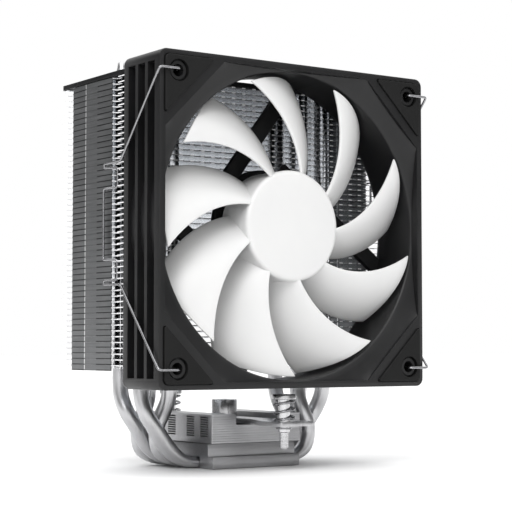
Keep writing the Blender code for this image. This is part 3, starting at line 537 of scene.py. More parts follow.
def make_materials():
    """Finishes for the pieces that show."""
    # The folded walls and the bites' edges take a darker copy of the fin aluminium: painted shade.
    wall = brushed("fin_wall_painted_shade_and_highlight_finish", (0.19, 0.195, 0.20), (0.27, 0.275, 0.28), (0.30, 0.45),
                   (1400, 60, 1400), 0.12)
    painted_wall_shade = wall.group(PAINTED_WALL_SHADE)
    # Painted shade and highlight on the walls: near-black shadow lines and a white crease line.
    wall.over((0.012, 0.012, 0.013), painted_wall_shade.outputs['Seam'])
    wall.over((0.95, 0.95, 0.95), painted_wall_shade.outputs['Painted_highlight'])
    return {
        "frame": moulded("frame_plastic_finish", *grey(0.006, 0.011, 0.0005), (0.34, 0.46), 1500, 0.25, 0.04,
                         shine=0.34),
        "rubber": moulded("pad_rubber_finish", *grey(0.003, 0.006, 0), (0.60, 0.75), 2200, 0.35, 0.04,
                          shine=0.25),
        "white": moulded("blade_plastic_finish", (0.66, 0.66, 0.66), (0.69, 0.69, 0.685), (0.28, 0.40),
                         700, 0.06, 0.05, dust_color=(0.6, 0.59, 0.57)),
        "cover": moulded("cover_finish", *grey(0.004, 0.009, 0.0005), (0.40, 0.52), 2600, 0.25, 0.02,
                         shine=0.15),
        "fins": brushed("fin_finish", (0.70, 0.73, 0.77), (0.74, 0.77, 0.81), (0.12, 0.16),
                        (20, 300, 300), 0.004),
        "wall": wall,
        # The drawn collars take a brighter copy of the fin aluminium, so they show as bright dashes between
        # the fins: painted highlight.
        "collar": brushed("fin_collar_painted_highlight_finish", *grey(0.90, 0.96), (0.14, 0.22), (300, 300, 300), 0.01),
        # Cut tooth and notch edges take a pale, non-metal copy of the fin aluminium, so they show as bright
        # ticks: painted highlight.
        "edge": moulded("fin_edge_painted_highlight_finish", *grey(0.86, 0.93), (0.25, 0.40), 1500, 0.05, 0.0, shine=0.8),
        "pipe": brushed("pipe_finish", *grey(0.52, 0.56), (0.27, 0.33), (500, 500, 30), 0.004),
        "base": brushed("base_finish", *grey(0.34, 0.46), (0.28, 0.45), (50, 1200, 1200), 0.15),
        "steel": brushed("bar_finish", *grey(0.40, 0.56), (0.24, 0.40), (900, 60, 900), 0.12),
        "screw": brushed("screw_finish", *grey(0.58, 0.68), (0.16, 0.26), (60, 60, 900), 0.02),
        "wire": brushed("wire_finish", *grey(0.24, 0.34), (0.20, 0.32), (500, 500, 500), 0.05),
    }


def make_hidden_materials():
    """Finishes for the pieces inside the motor."""
    copper = Finish("copper_finish", (0.62, 0.22, 0.09), 0.3, 1.0)
    wound = copper.nodes.new('ShaderNodeTexWave')
    wound.bands_direction = 'DIAGONAL'
    wound.inputs['Scale'].default_value = 900
    wound.inputs['Distortion'].default_value = 0.4
    copper.links.new(object_place(copper.nodes), wound.inputs['Vector'])
    copper.colours(wound.outputs['Fac'], (0.36, 0.10, 0.04), (0.72, 0.28, 0.12), 0.1, 0.8)
    copper.bump(wound.outputs['Fac'], 0.7, 0.15 * MM)
    laminated = Finish("laminated_finish", (0.3, 0.3, 0.31), 0.42, 1.0)
    sheets = laminated.nodes.new('ShaderNodeTexWave')
    sheets.bands_direction = 'Y'
    sheets.inputs['Scale'].default_value = 640
    laminated.links.new(object_place(laminated.nodes), sheets.inputs['Vector'])
    laminated.colours(sheets.outputs['Fac'], (0.14, 0.14, 0.15), (0.38, 0.38, 0.39), 0.1, 0.5)
    laminated.bump(sheets.outputs['Fac'], 0.5, 0.05 * MM)
    board = moulded("board_finish", (0.010, 0.085, 0.030), (0.020, 0.14, 0.05), (0.30, 0.45), 500, 0.1, 0.05)
    label = moulded("label_finish", (0.34, 0.34, 0.34), (0.44, 0.44, 0.43), (0.35, 0.5), 800, 0.08, 0.05)
    ferrite = moulded("ferrite_finish", (0.035, 0.035, 0.038), (0.06, 0.06, 0.064), (0.5, 0.7),
                      1800, 0.4, 0.05)
    bronze = moulded("bronze_finish", (0.34, 0.20, 0.09), (0.50, 0.33, 0.17), (0.4, 0.6), 3000, 0.5, 0.0)
    bronze.shader.inputs["Metallic"].default_value = 1.0
    return {"copper": copper, "laminated": laminated, "board": board, "label": label, "ferrite": ferrite,
            "bronze": bronze}


FINISHES = {key: finish.material for key, finish in {**make_materials(), **make_hidden_materials()}.items()}


def carry_over(material, *nodes):
    """CAD nodes that stay as they are, with a better finish."""
    for node in nodes:
        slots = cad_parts[node].data.materials
        if len(slots):
            for index in range(len(slots)):
                slots[index] = FINISHES[material]
        else:
            slots.append(FINISHES[material])


# -------- fan frame

DUCT_R = 58.9 * MM
DUCT_FACETS = 192
MOUTH_HALF, MOUTH_DIAGONAL = 57.55 * MM, 63.8 * MM
GROOVE_STEP, GROOVE_HALF, GROOVE_LENGTH = 6.7 * MM, 2.4 * MM, 112 * MM
GROOVE_FLOOR = 56.4 * MM
HOLDER_THICK = 2.6 * MM
STRUT_HALF, STRUT_REACH = 3.3 * MM, 58.6 * MM
PAD_EDGE, PAD_LEG = 58 * MM, 21 * MM


def right_triangle(name, sign_x, sign_z, edge, leg, low, high, rounding):
    """A corner pad's outline, drawn out along Y between two places."""
    nothing_selected()
    bpy.ops.mesh.primitive_plane_add(size=leg, location=(edge - leg / 2, 0, edge - leg / 2),
                                     rotation=(math.radians(90), 0, 0))
    obj = settle(bpy.context.object, name)
    inner = min(v.co.x + v.co.z for v in obj.data.vertices)
    select_where(obj, 'VERT', lambda v: v.co.x + v.co.z < inner + 0.1 * MM)
    bpy.ops.mesh.dissolve_verts()
    bpy.ops.mesh.select_all(action='SELECT')
    bpy.ops.mesh.extrude_region_move(TRANSFORM_OT_translate={"value": (0, high - low, 0)})
    round_edges(face_outward(obj), along(1), rounding, 5)
    obj.location = (0, low, FAN_Z)
    obj.scale = (sign_x, 1, sign_z)
    return face_outward(settle(obj))


def grooves():
    """Three cutters down each of the four sides."""
    cutters = []
    for row in (-1, 0, 1):
        middle = (FAN_FRONT + FAN_REAR) / 2 + row * GROOVE_STEP
        near, far = middle - GROOVE_HALF, middle + GROOVE_HALF
        for sign in (-1, 1):
            low, high = sorted((sign * GROOVE_FLOOR, sign * (FAN_HALF + MM)))
            cutters.append(block("groove", (low, near, FAN_Z - GROOVE_LENGTH / 2),
                                 (high, far, FAN_Z + GROOVE_LENGTH / 2)))
            cutters.append(block("groove", (-GROOVE_LENGTH / 2, near, FAN_Z + low),
                                 (GROOVE_LENGTH / 2, far, FAN_Z + high)))
    for cutter in cutters:
        round_edges(cutter, along(1), 0.8 * MM, 3)
    return cutters


def bore():
    """What the air passes through: a mouth with cut corners, the round bore, a slight flare at the rear."""
    profile = [(66.8, -1), (66.6, 0), (65.4, 0.9), (63.3, 1.75), (60.0, 2.85), (58.0, 3.45), (57.5, 3.75),
               (57.3, 4.1), (57.2, 4.4), (57.2, 22.6), (57.6, 24.2), (58.0, 25.0), (58.1, 26)]
    air = lathe("bore", [(r * MM, y * MM) for r, y in profile], (0, FAN_FRONT, FAN_Z), 'Y', DUCT_FACETS)
    mouth = block("mouth", (-MOUTH_HALF, FAN_FRONT - 2 * MM, FAN_Z - MOUTH_HALF),
                  (MOUTH_HALF, FAN_FRONT + 6 * MM, FAN_Z + MOUTH_HALF))
    round_edges(mouth, along(1), 2 * MOUTH_HALF - math.sqrt(2) * MOUTH_DIAGONAL, 1)
    behind = block("behind", (-FAN_HALF, FAN_FRONT + 5 * MM, FAN_Z - FAN_HALF),
                   (FAN_HALF, FAN_REAR + 2 * MM, FAN_Z + FAN_HALF))
    return combine(air, [weld(mouth, behind)], 'INTERSECT')


def fan_shell():
    """The square duct: flared mouth, grooved sides, pockets for the pads and screw holes."""
    shell = block("fan_housing", (-FAN_HALF, FAN_FRONT, FAN_Z - FAN_HALF),
                  (FAN_HALF, FAN_REAR, FAN_Z + FAN_HALF))
    round_edges(shell, along(1), 3 * MM, 8)
    round_edges(shell, lambda e: abs(e.verts[0].co.y - e.verts[1].co.y) < 1e-6, 0.35 * MM, 2)
    carve(shell, *grooves())
    weld(shell, rod("duct", DUCT_R, (0, FAN_FRONT + 2.5 * MM, FAN_Z), (0, FAN_REAR - 2 * MM, FAN_Z),
                    DUCT_FACETS))
    carve(shell, bore())
    for sign_x, sign_z in CORNERS.values():
        for face in (FAN_FRONT, FAN_REAR):
            carve(shell, right_triangle("pocket", sign_x, sign_z, PAD_EDGE + 0.3 * MM, PAD_LEG + 0.8 * MM,
                                        face - MM, face + MM, 2 * MM))
        x, z = sign_x * HOLE_AT, FAN_Z + sign_z * HOLE_AT
        weld(shell, rod("sleeve", 3.3 * MM, (x, FAN_FRONT - 0.1 * MM, z), (x, FAN_REAR - 0.3 * MM, z), 40))
        carve(shell, rod("hole", 2.2 * MM, (x, FAN_FRONT - 2 * MM, z), (x, FAN_REAR + MM, z), 40))
    return shell


def struts():
    """Four bars that slant from the holder's rim to the duct."""
    start, end = (Matrix.Rotation(math.radians(-angle), 3, 'Y') @ Vector((radius * MM, 0, 0))
                  for radius, angle in ((24, 131), (44, 85)))
    way = end - start
    lean = Matrix.Rotation(-math.atan2(way.z, way.x), 4, 'Y')
    bars = []
    for quarter in range(4):
        bar = block("strut", (-12 * MM, FAN_REAR - HOLDER_THICK, -STRUT_HALF),
                    (53.5 * MM, FAN_REAR, STRUT_HALF))
        round_edges(bar, along(0), 0.7 * MM, 3)
        about = Matrix.Rotation(math.radians(90 * quarter), 4, 'Y')
        bar.matrix_world = Matrix.Translation((0, 0, FAN_Z)) @ about @ Matrix.Translation(start) @ lean
        bars.append(settle(bar))
    return bars


def motor_holder():
    """Disc, four slanted struts and the bearing tube."""
    holder = lathe("holder", [(21.9 * MM, 0), (22.5 * MM, 0.6 * MM), (22.5 * MM, HOLDER_THICK)],
                   (0, FAN_REAR - HOLDER_THICK, FAN_Z), 'Y', 96)
    weld(holder, *struts())
    limit = rod("limit", STRUT_REACH, (0, FAN_REAR - 4 * MM, FAN_Z), (0, FAN_REAR - 0.02 * MM, FAN_Z), 128)
    combine(holder, [limit], 'INTERSECT')
    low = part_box("bearing_sleeve")[0].y + 0.3 * MM
    weld(holder, lathe("bearing_tube", [(4.4 * MM, 0), (4.6 * MM, 0.3 * MM), (4.6 * MM, FAN_REAR - MM - low)],
                       (0, low, FAN_Z), 'Y', 40))
    return carve(holder, rod("sleeve_hole", 3.35 * MM, (0, low - MM, FAN_Z),
                             (0, FAN_REAR - 0.8 * MM, FAN_Z), 32))


def make_fan_frame():
    """Duct and motor holder in one moulding."""
    housing = weld(fan_shell(), motor_holder())
    ready(shade(housing, 32), FINISHES["frame"], "heatsink", "frame_plastic", "fan_frame")


def make_pads():
    """Rubber corner pads with a round opening."""
    for place, (sign_x, sign_z) in CORNERS.items():
        x, z = sign_x * HOLE_AT, FAN_Z + sign_z * HOLE_AT
        for side in ("front", "rear"):
            node = "pad_%s_%s" % (side, place)
            low, high = (corner.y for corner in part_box(node))
            pad = right_triangle(node + "_rubber", sign_x, sign_z, PAD_EDGE, PAD_LEG, low, high, 1.8 * MM)
            soften(pad, 0.3 * MM, 3, 50)
            carve(pad, rod("opening", 4.0 * MM, (x, low - MM, z), (x, high + MM, z), 48))
            ready(shade(pad, 40), FINISHES["rubber"], "heatsink", "pad_rubber", node)


# -------- rotor

HUB_R = 20.8 * MM
HUB_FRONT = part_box("yoke_ring")[0].y - 1.9 * MM
HUB_REAR = FAN_REAR - 5.2 * MM
BLADES = 9
BLADE_ROOT_R, BLADE_TIP_R = HUB_R - 0.8 * MM, 55.8 * MM
BLADE_START, BLADE_SWEEP, BLADE_CHORD = 199.5, 31, 29  # degrees
BLADE_THICK = 1.1 * MM


def blade(turn):
    """One swept blade: a fine grid laid in place, given thickness and rounded.

    t runs from root to tip, s from the leading edge to the trailing edge.
    """
    nothing_selected()
    bpy.ops.mesh.primitive_grid_add(x_subdivisions=22, y_subdivisions=14, size=2)
    obj = bpy.context.object
    for vertex in obj.data.vertices:
        t = (vertex.co.y + 1) / 2
        s = (vertex.co.x + 1) / 2
        radius = BLADE_ROOT_R + (BLADE_TIP_R - BLADE_ROOT_R) * t
        angle = math.radians(BLADE_START + BLADE_SWEEP * t + turn - BLADE_CHORD * s)
        lead = (3.6 - 0.8 * t) * MM
        drop = (15.8 + 1.2 * t) * MM - lead
        y = FAN_FRONT + lead + drop * s ** (1.35 + 0.55 * t)
        vertex.co = (radius * math.cos(angle), y, FAN_Z + radius * math.sin(angle))
    face_outward(settle(obj, "blade"))
    modify(obj, 'SOLIDIFY', thickness=BLADE_THICK, offset=0)
    return round_edges(obj, lambda e: e.calc_face_angle(0) > math.radians(60), 0.4 * MM)


def make_rotor():
    """Hub and nine blades."""
    profile = [(HUB_R - 2.2 * MM, 0), (HUB_R - 1.2 * MM, 0.12 * MM), (HUB_R - 0.45 * MM, 0.5 * MM),
               (HUB_R - 0.1 * MM, 1.2 * MM), (HUB_R, 2.0 * MM), (HUB_R, HUB_REAR - HUB_FRONT)]
    hub = lathe("hub", profile, (0, HUB_FRONT, FAN_Z), 'Y', 128)

    def core(name, radius, start, end, vertices):
        """A cylinder on the axis; start and end are measured from the hub's face."""
        return rod(name, radius, (0, HUB_FRONT + start, FAN_Z), (0, HUB_FRONT + end, FAN_Z), vertices)

    carve(hub, core("hollow", HUB_R - 1.4 * MM, 1.6 * MM, FAN_REAR - HUB_FRONT, 96))
    weld(hub, core("seat", 3.4 * MM, 1.2 * MM, 4.6 * MM, 40))
    carve(hub, core("shaft_hole", 1.6 * MM, 1.3 * MM, 9 * MM, 32))
    weld(hub, *[blade(360 / BLADES * index) for index in range(BLADES)])
    hub.name = hub.data.name = "fan_wheel"
    ready(shade(hub, 40), FINISHES["white"], "rotor", "blade_plastic", "impeller")
    carry_over("screw", "yoke_ring", "shaft")
    carry_over("ferrite", "rotor_magnet")


def make_motor():
    """The pieces inside the motor keep their CAD shapes."""
    carry_over("bronze", "bearing_sleeve")
    carry_over("laminated", "stator_core")
    carry_over("copper", "coil_1", "coil_2", "coil_3", "coil_4")
    carry_over("board", "motor_board")
    carry_over("label", "rear_label")


# -------- fins

FIN_HALF_X, FIN_HALF_Y = 59.6 * MM, 23.8 * MM
TOOTH_PITCH, TEETH, TOOTH_BITE = 4.675 * MM, 25, 1.75 * MM
WALL_BENDS = [(-15.0, 59.60), (-4.6, 59.95), (4.3, 59.95), (15.0, 59.60)]  # (y, x) in millimetres
WALL_GAP = 0.02 * MM
# Material slots: the sheet; a darker copy for walls and bite edges (painted shade); paler copies for cut
# edges and collars (painted highlights).
SHEET, WALL, EDGE, COLLAR = range(4)


def toothed_plate():
    """The top fin: a thin plate with clip notches, toothed edges and eight holes."""
    under, over = FIN_TOP - MM, FIN_TOP + MM
    plate = block("fin", (-FIN_HALF_X, -FIN_HALF_Y, FIN_TOP - FIN_THICK), (FIN_HALF_X, FIN_HALF_Y, FIN_TOP))
    bites = []
    for sign in (-1, 1):
        first_x, y = -(TEETH - 1) / 2 * TOOTH_PITCH, sign * (FIN_HALF_Y + 0.55 * MM)
        bite = rod("bite", TOOTH_BITE, (first_x, y, under), (first_x, y, over), 8)
        bites.append(repeat(bite, TEETH, (TOOTH_PITCH, 0, 0)))
        for side in (-1, 1):
            low, high = sorted((side * 57.4 * MM, side * 62 * MM))
            near, far = sorted((sign * 15.3 * MM, sign * 19.4 * MM))
            notch = block("notch", (low, near, under), (high, far, over))
            bites.append(round_edges(notch, along(2), 0.7 * MM, 2))
    carve(plate, *bites)
    for x, y in LEGS:
        carve(plate, rod("hole", 3.25 * MM, (x, y, under), (x, y, over), 16))
    return plate


def collar(x, y):
    """Short drawn collar round a pipe, open at both ends."""
    nothing_selected()
    depth = 1.3 * MM
    bpy.ops.mesh.primitive_cylinder_add(vertices=16, radius=3.2 * MM, depth=depth, end_fill_type='NOTHING',
                                        location=(x, y, FIN_TOP - FIN_THICK - depth / 2))
    ring = settle(bpy.context.object, "collar")
    return modify(ring, 'SOLIDIFY', thickness=0.2 * MM, offset=1)


def folded_wall(side):
    """Side of a fin folded down on to the next one, in three flat facets."""
    nothing_selected()
    bpy.ops.mesh.primitive_grid_add(x_subdivisions=3, y_subdivisions=1, size=2,
                                    rotation=(math.radians(90), 0, 0))
    wall = settle(bpy.context.object, "wall")
    stations = sorted({round(v.co.x, 3) for v in wall.data.vertices})
    for vertex in wall.data.vertices:
        y, x = WALL_BENDS[stations.index(round(vertex.co.x, 3))]
        z = FIN_TOP if vertex.co.z > 0 else FIN_TOP - FIN_PITCH + WALL_GAP
        vertex.co = (side * x * MM, y * MM, z)
    pick(wall)
    bpy.ops.object.mode_set(mode='EDIT')
    bpy.ops.mesh.select_all(action='SELECT')
    bpy.ops.mesh.extrude_region_move(TRANSFORM_OT_translate={"value": (-side * FIN_THICK, 0, 0)})
    return face_outward(wall)


def finish_fins(pack, node):
    """Sheet faces in the fin aluminium; the folded walls and the bites' edges in a darker copy (painted
    shade); the cut edges and drawn collars in paler copies (painted highlights).
    """
    ready(pack, FINISHES["fins"], "heatsink", "fin_aluminium", node)
    for material in ("wall", "edge", "collar"):
        pack.data.materials.append(FINISHES[material])
    for face in pack.data.polygons:
        x, y = abs(face.center.x), abs(face.center.y)
        upright = abs(face.normal.z) < 0.7
        folded = x > 58.9 * MM and y < 15.1 * MM
        bite = x < 57.2 * MM and 20 * MM < y < 23.6 * MM
        drawn = upright and any(math.hypot(face.center.x - leg_x, face.center.y - leg_y) < 3.6 * MM
                                for leg_x, leg_y in LEGS)
        tip = x > 57.2 * MM or y > 23.6 * MM
        # Painted shade on the walls and the bites' edges; painted highlights on the collars and the tooth
        # tips.
        if folded or upright and bite:
            face.material_index = WALL
        elif drawn:
            face.material_index = COLLAR
        elif upright and tip:
            face.material_index = EDGE
        else:
            face.material_index = SHEET


def make_fins():
    """Three packs of seventeen fins, copied down from the top one."""
    pieces = [toothed_plate()] + [collar(x, y) for x, y in LEGS]
    fin = shade(gather(pieces + [folded_wall(-1), folded_wall(1)], "fin_pack_upper_fins"), 30)
    repeat(fin, FINS_IN_PACK, (0, 0, -FIN_PITCH))
    for index, node in enumerate(("fin_pack_middle", "fin_pack_lower"), 1):
        drop = index * FINS_IN_PACK * FIN_PITCH
        finish_fins(duplicate(fin, node + "_fins", (0, 0, -drop)), node)
    finish_fins(fin, "fin_pack_upper")


def make_cover():
    """Black top plate with the pipe holes."""
    low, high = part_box("top_cover")
    plate = block("cover_plate", low, high)
    round_edges(plate, along(2), 1.5 * MM, 5)
    for x, y in LEGS:
        carve(plate, rod("hole", 3.5 * MM, (x, y, low.z - MM), (x, y, high.z + MM), 40))
    soften(plate, 0.25 * MM, 2, 50)
    ready(shade(plate), FINISHES["cover"], "heatsink", "black_aluminium", "top_cover")


# -------- heat pipes

PIPE_R = 3.0 * MM
FLAT_END = 19 * MM
STRAIGHT_FROM = 40 * MM
PIPE_TIP = [(155.5, 0.30), (155.35, 0.42), (154.9, 0.52), (153.6, 0.58), (151.5, 0.72), (149.6, 0.90),
            (148.3, 0.985), (147.6, 1.0)]  # (height in millimetres, share of the full radius)


def leg_half(outer, base_y, leg_y):
    """Middle line of one leg, x positive, before the base end is pressed flat."""
    if outer:
        bends = [(42.5, 31), (42.3, 26), (41.2, 20.5), (38.2, 15.8), (34.6, 11.6), (31.0, 8.2),
                 (27.0, 5.0), (23.0, 3.25)]
    else:
        bends = [(30.0, 30), (30.1, 25), (31.2, 20), (32.7, 16), (33.2, 12.5), (32.0, 9.0),
                 (29.2, 5.9), (25.6, 3.8), (22.5, 3.1)]
    points = []
    for x, z in bends:
        y = leg_y + (base_y - leg_y) * smoothstep((30 - z) / 14)
        points.append(Vector((x * MM, y, z * MM)))
    return points


def make_pipes():
    """Four bent pipes: rounded tips, straight legs, crossed bends, flattened under the base."""
    for index in range(4):
        node = "heat_pipe_%d" % (index + 1)
        left_outer = index % 2 == 0
        leg_y = -LEG_Y if index < 2 else LEG_Y
        flat_y = (index - 1.5) * FLAT_PITCH
        left = [Vector((-p.x, p.y, p.z)) for p in leg_half(left_outer, flat_y, leg_y)]
        right = leg_half(not left_outer, flat_y, leg_y)
        left_x = -(LEG_OUTER if left_outer else LEG_INNER)
        right_x = LEG_INNER if left_outer else LEG_OUTER
        flat = [Vector((x, flat_y, PIPE_R)) for x in (-FLAT_END, 0, FLAT_END)]
        path = smooth_path([Vector((left_x, leg_y, STRAIGHT_FROM)), *left, *flat, *reversed(right),
                            Vector((right_x, leg_y, STRAIGHT_FROM))], 1.6 * MM)
        start = [Vector((left_x, leg_y, z * MM)) for z, _ in PIPE_TIP]
        end = [Vector((right_x, leg_y, z * MM)) for z, _ in reversed(PIPE_TIP)]
        shares = [share for _, share in PIPE_TIP]
        radii = shares + [1.0] * len(path) + shares[::-1]
        pipe = tube(node + "_tube", start + path + end, PIPE_R, radii, 6)
        for vertex in pipe.data.vertices:
            share = smoothstep((vertex.co.z - 4 * MM) / (12 * MM))
            vertex.co.z = max(vertex.co.z * (2 + share) / 3, 0.06 * MM)
        ready(shade(pipe, 50), FINISHES["pipe"], "heatsink", "nickelled_copper", node)


# -------- base and mounting

BASE_HALF_X, BASE_HALF_Y, STEP_HALF_Y = 20 * MM, 22.5 * MM, 19.2 * MM
CHANNEL_HALF = 9.6 * MM
BAR_HALF, BAR_SHOULDER_Y = 5 * MM, 26 * MM
BOSS_R = 5.0 * MM
SPRING_R, SPRING_WIRE_R = 3.8 * MM, 0.45 * MM
CLIP_WIRE_R = 0.47 * MM


def make_base_block():
    """Contact block: lower plate, recessed step, grooves for the pipes."""
    plate = block("contact_block", (-BASE_HALF_X, -BASE_HALF_Y, 0), (BASE_HALF_X, BASE_HALF_Y, 4.5 * MM))
    step = block("step", (-BASE_HALF_X, -STEP_HALF_Y, 2 * MM), (BASE_HALF_X, STEP_HALF_Y, 9.2 * MM))
    for part in (plate, step):
        round_edges(part, lambda e: True, 0.3 * MM, 2)
    weld(plate, step)
    for index in range(4):
        y = (index - 1.5) * FLAT_PITCH
        groove = block("groove", (-BASE_HALF_X - MM, y - 3.15 * MM, -MM),
                       (BASE_HALF_X + MM, y + 3.15 * MM, 4.25 * MM))
        carve(plate, round_edges(groove, along(0), 0.9 * MM, 4))
    ready(shade(plate), FINISHES["base"], "heatsink", "milled_aluminium", "base_block")


def make_base_sink():
    """Small finned block on the contact block: slotted faces, louvred ends, a channel for the bar."""
    low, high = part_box("base_sink")
    sink = block("base_fins", low, high)
    round_edges(sink, along(2), 0.6 * MM, 3)
    for sign in (-1, 1):
        near, far = sorted((sign * (high.y + MM), sign * (high.y - 0.5 * MM)))
        slot = block("slot", (low.x - MM, near, low.z + 0.75 * MM), (high.x + MM, far, low.z + 0.98 * MM))
        carve(sink, repeat(slot, 11, (0, 0, 0.9 * MM)))
        near, far = sorted((sign * (high.x + MM), sign * (high.x - 3 * MM)))
        for y in (17.2 * MM, 7.5 * MM, -6.0 * MM):
            louvre = block("louvre", (near, sign * y - 2.8 * MM, 11.8 * MM),
                           (far, sign * y + 2.8 * MM, 12.35 * MM))
            carve(sink, repeat(louvre, 9, (0, 0, 0.88 * MM)))
    carve(sink, block("channel", (-CHANNEL_HALF, low.y - MM, BAR_END_LOW),
                      (CHANNEL_HALF, high.y + MM, high.z + MM)))
    ready(shade(sink), FINISHES["base"], "heatsink", "milled_aluminium", "base_sink")


def make_bar():
    """Crossbar with lower, thinner ends and an ear at each screw."""
    bar = block("mounting_bar", (-BAR_HALF, -BAR_SHOULDER_Y, BAR_LOW), (BAR_HALF, BAR_SHOULDER_Y, BAR_TOP))
    for sign in (-1, 1):
        select_where(bar, 'FACE', lambda f: f.normal.y * sign > 0.9
                     and f.calc_center_median().y * sign > BAR_SHOULDER_Y - MM)
        bpy.ops.mesh.extrude_region_move(TRANSFORM_OT_translate={"value": (0, sign * 7 * MM, -0.5 * MM)})
        bpy.ops.transform.resize(value=(1, 1, 0.895), center_override=(0, sign * 33 * MM, 17.05 * MM))
        bpy.ops.mesh.extrude_region_move(TRANSFORM_OT_translate={"value": (0, sign * 12.2 * MM, 0)})
        bpy.ops.object.mode_set(mode='OBJECT')
        low, high = sorted((sign * 4.5 * MM, -sign * 11.1 * MM))
        ear = block("ear", (low, sign * SCREW_Y - 4.5 * MM, BAR_END_LOW),
                    (high, sign * SCREW_Y + 4.5 * MM, BAR_END_TOP))
        weld(bar, round_edges(ear, along(2), 1.2 * MM, 4))
    round_edges(bar, lambda e: along(2)(e) and abs(e.verts[0].co.y) > 45 * MM, 1.0 * MM, 4)
    for y, radius in ((-SCREW_Y, 2.5 * MM), (SCREW_Y, 2.5 * MM), (0, 2.6 * MM)):
        carve(bar, rod("hole", radius, (0, y, 10 * MM), (0, y, 24 * MM), 40))
    soften(bar, 0.2 * MM, 2, 40)
    ready(shade(bar), FINISHES["steel"], "heatsink", "bright_steel", "crossbar")


def make_boss():
    """Round nut on the middle of the bar, with a hexagon socket."""
    low, high = (corner.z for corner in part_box("bar_boss"))
    seat, neck = BAR_TOP + 0.05 * MM, 2.2 * MM
    profile = [(neck, low), (neck, seat), (BOSS_R - 0.1 * MM, seat), (BOSS_R, seat + 0.1 * MM),
               (BOSS_R, high - 0.3 * MM), (BOSS_R - 0.1 * MM, high - 0.1 * MM), (BOSS_R - 0.3 * MM, high)]
    boss = lathe("centre_nut", profile, (0, 0, 0))
    carve(boss, rod("socket", 1.9 * MM, (0, 0, high - 2.4 * MM), (0, 0, high + MM), 6))
    ready(shade(boss), FINISHES["screw"], "heatsink", "bright_steel", "bar_boss")


def make_screw(side, y):
    """Sprung screw with a cross recess and a few turns of thread."""
    profile = [(1.0, 7.8), (1.6, 8.4), (1.6, 13.7), (2.2, 14.1), (2.2, 15.0), (1.75, 15.0), (1.75, 15.9),
               (2.2, 15.9), (2.2, 26.2), (4.35, 26.2), (4.6, 26.4), (4.6, 27.5), (4.45, 27.85), (4.1, 28.05),
               (3.6, 28.1)]
    screw = lathe("screw", [(r * MM, z * MM) for r, z in profile], (0, y, 0))
    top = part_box("screw_" + side)[1].z
    for half_x, half_y in ((2.5 * MM, 0.45 * MM), (0.45 * MM, 2.5 * MM)):
        carve(screw, block("cross", (-half_x, y - half_y, top - 1.3 * MM), (half_x, y + half_y, top + MM)))
    thread = repeat(rod("thread", 1.75 * MM, (0, y, 8.5 * MM), (0, y, 8.7 * MM), 40), 10, (0, 0, 0.5 * MM))
    modify(thread, 'BEVEL', width=0.08 * MM, segments=1, limit_method='ANGLE')
    screw = gather([screw, thread], "sprung_screw_" + side)
    ready(shade(screw), FINISHES["screw"], "screw_%s_body" % side, "bright_steel", "screw_" + side)


def make_ring(side, y):
    """Open retaining ring in the screw's groove, under the bar."""
    ring = lathe("ring_" + side, [(2.9 * MM, 15.2 * MM), (2.9 * MM, 15.7 * MM)], (0, y, 0), 'Z', 48)
    carve(ring, rod("inner", 1.85 * MM, (0, y, 15 * MM), (0, y, 16 * MM), 40),
          block("gap", (0, y - 1.3 * MM, 15 * MM), (4 * MM, y + 1.3 * MM, 16 * MM)))
    soften(ring, 0.1 * MM, 2, 40)
    ready(shade(ring), FINISHES["wire"], "screw_%s_body" % side, "spring_steel", "retaining_ring_" + side)


def make_spring(side, y):
    """Coil spring of three and a quarter turns, closer at its lower end."""
    low, high = BAR_END_TOP + 0.75 * MM, HEAD_UNDERSIDE - 0.75 * MM
    per_turn = 28
    points = []
    for index in range(per_turn * 13 // 4 + 1):
        turn = index / per_turn
        climb = (turn - 0.45) / 2.35
        share = smoothstep(climb) * 0.25 + min(1, max(0, climb)) * 0.75
        angle = 2 * math.pi * turn + 0.6
        points.append(Vector((SPRING_R * math.cos(angle), y + SPRING_R * math.sin(angle),
                              low + (high - low) * share)))
    coil = tube("coil_spring_" + side, points, SPRING_WIRE_R, None, 3)
    ready(shade(coil, 60), FINISHES["wire"], "heatsink", "spring_steel", "spring_" + side)
    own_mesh(coil)


def make_mounting():
    """Each screw with its ring and its spring."""
    for side, y in (("front", -SCREW_Y), ("rear", SCREW_Y)):
        make_screw(side, y)
        make_ring(side, y)
        make_spring(side, y)


# -------- clips

def make_clips():
    """Bent wire clips: the ends in the fan's holes, a hook in the fins' notches, a loop to pull."""
    high, turn, loop = 52.9 * MM, 22.1 * MM, 13.1 * MM
    front_y = FAN_FRONT - 1.75 * MM
    half = [(52.5, FAN_FRONT + 4 * MM, high), (52.5, front_y, high), (61.0, front_y, high),
            (61.0, -24.2 * MM, turn + 0.3 * MM), (61.0, -12.0 * MM, turn),
            (61.0, -12.0 * MM, turn - 1.4 * MM),
            (60.1, -14.8 * MM, turn - 1.45 * MM), (59.1, -18.6 * MM, turn - 1.5 * MM),
            (59.1, -18.6 * MM, loop), (61.0, -14.6 * MM, loop), (61.0, -11.6 * MM, loop)]
    for side, sign in (("left", -1), ("right", 1)):
        upper = [Vector((sign * x * MM, y, FAN_Z + z)) for x, y, z in half]
        lower = [Vector((p.x, p.y, 2 * FAN_Z - p.z)) for p in reversed(upper)]
        wire = tube("wire_clip_" + side, fillet(upper + lower, 1.3 * MM), CLIP_WIRE_R, None, 4)
        ready(shade(wire, 60), FINISHES["wire"], "clip_%s_body" % side, "spring_steel", "clip_" + side)


# -------- camera, light, floor

def make_camera():
    """Low at the front left, looking slightly up."""
    nothing_selected()
    bpy.ops.object.camera_add(location=(-0.3411, -0.5143, 0.0458),
                              rotation=(math.radians(93.31), 0, math.radians(-34.71)))
    camera = bpy.context.object
    camera.data.lens = 110
    camera.data.sensor_width = 36
    camera.data.clip_start = 0.01
    bpy.context.scene.camera = camera


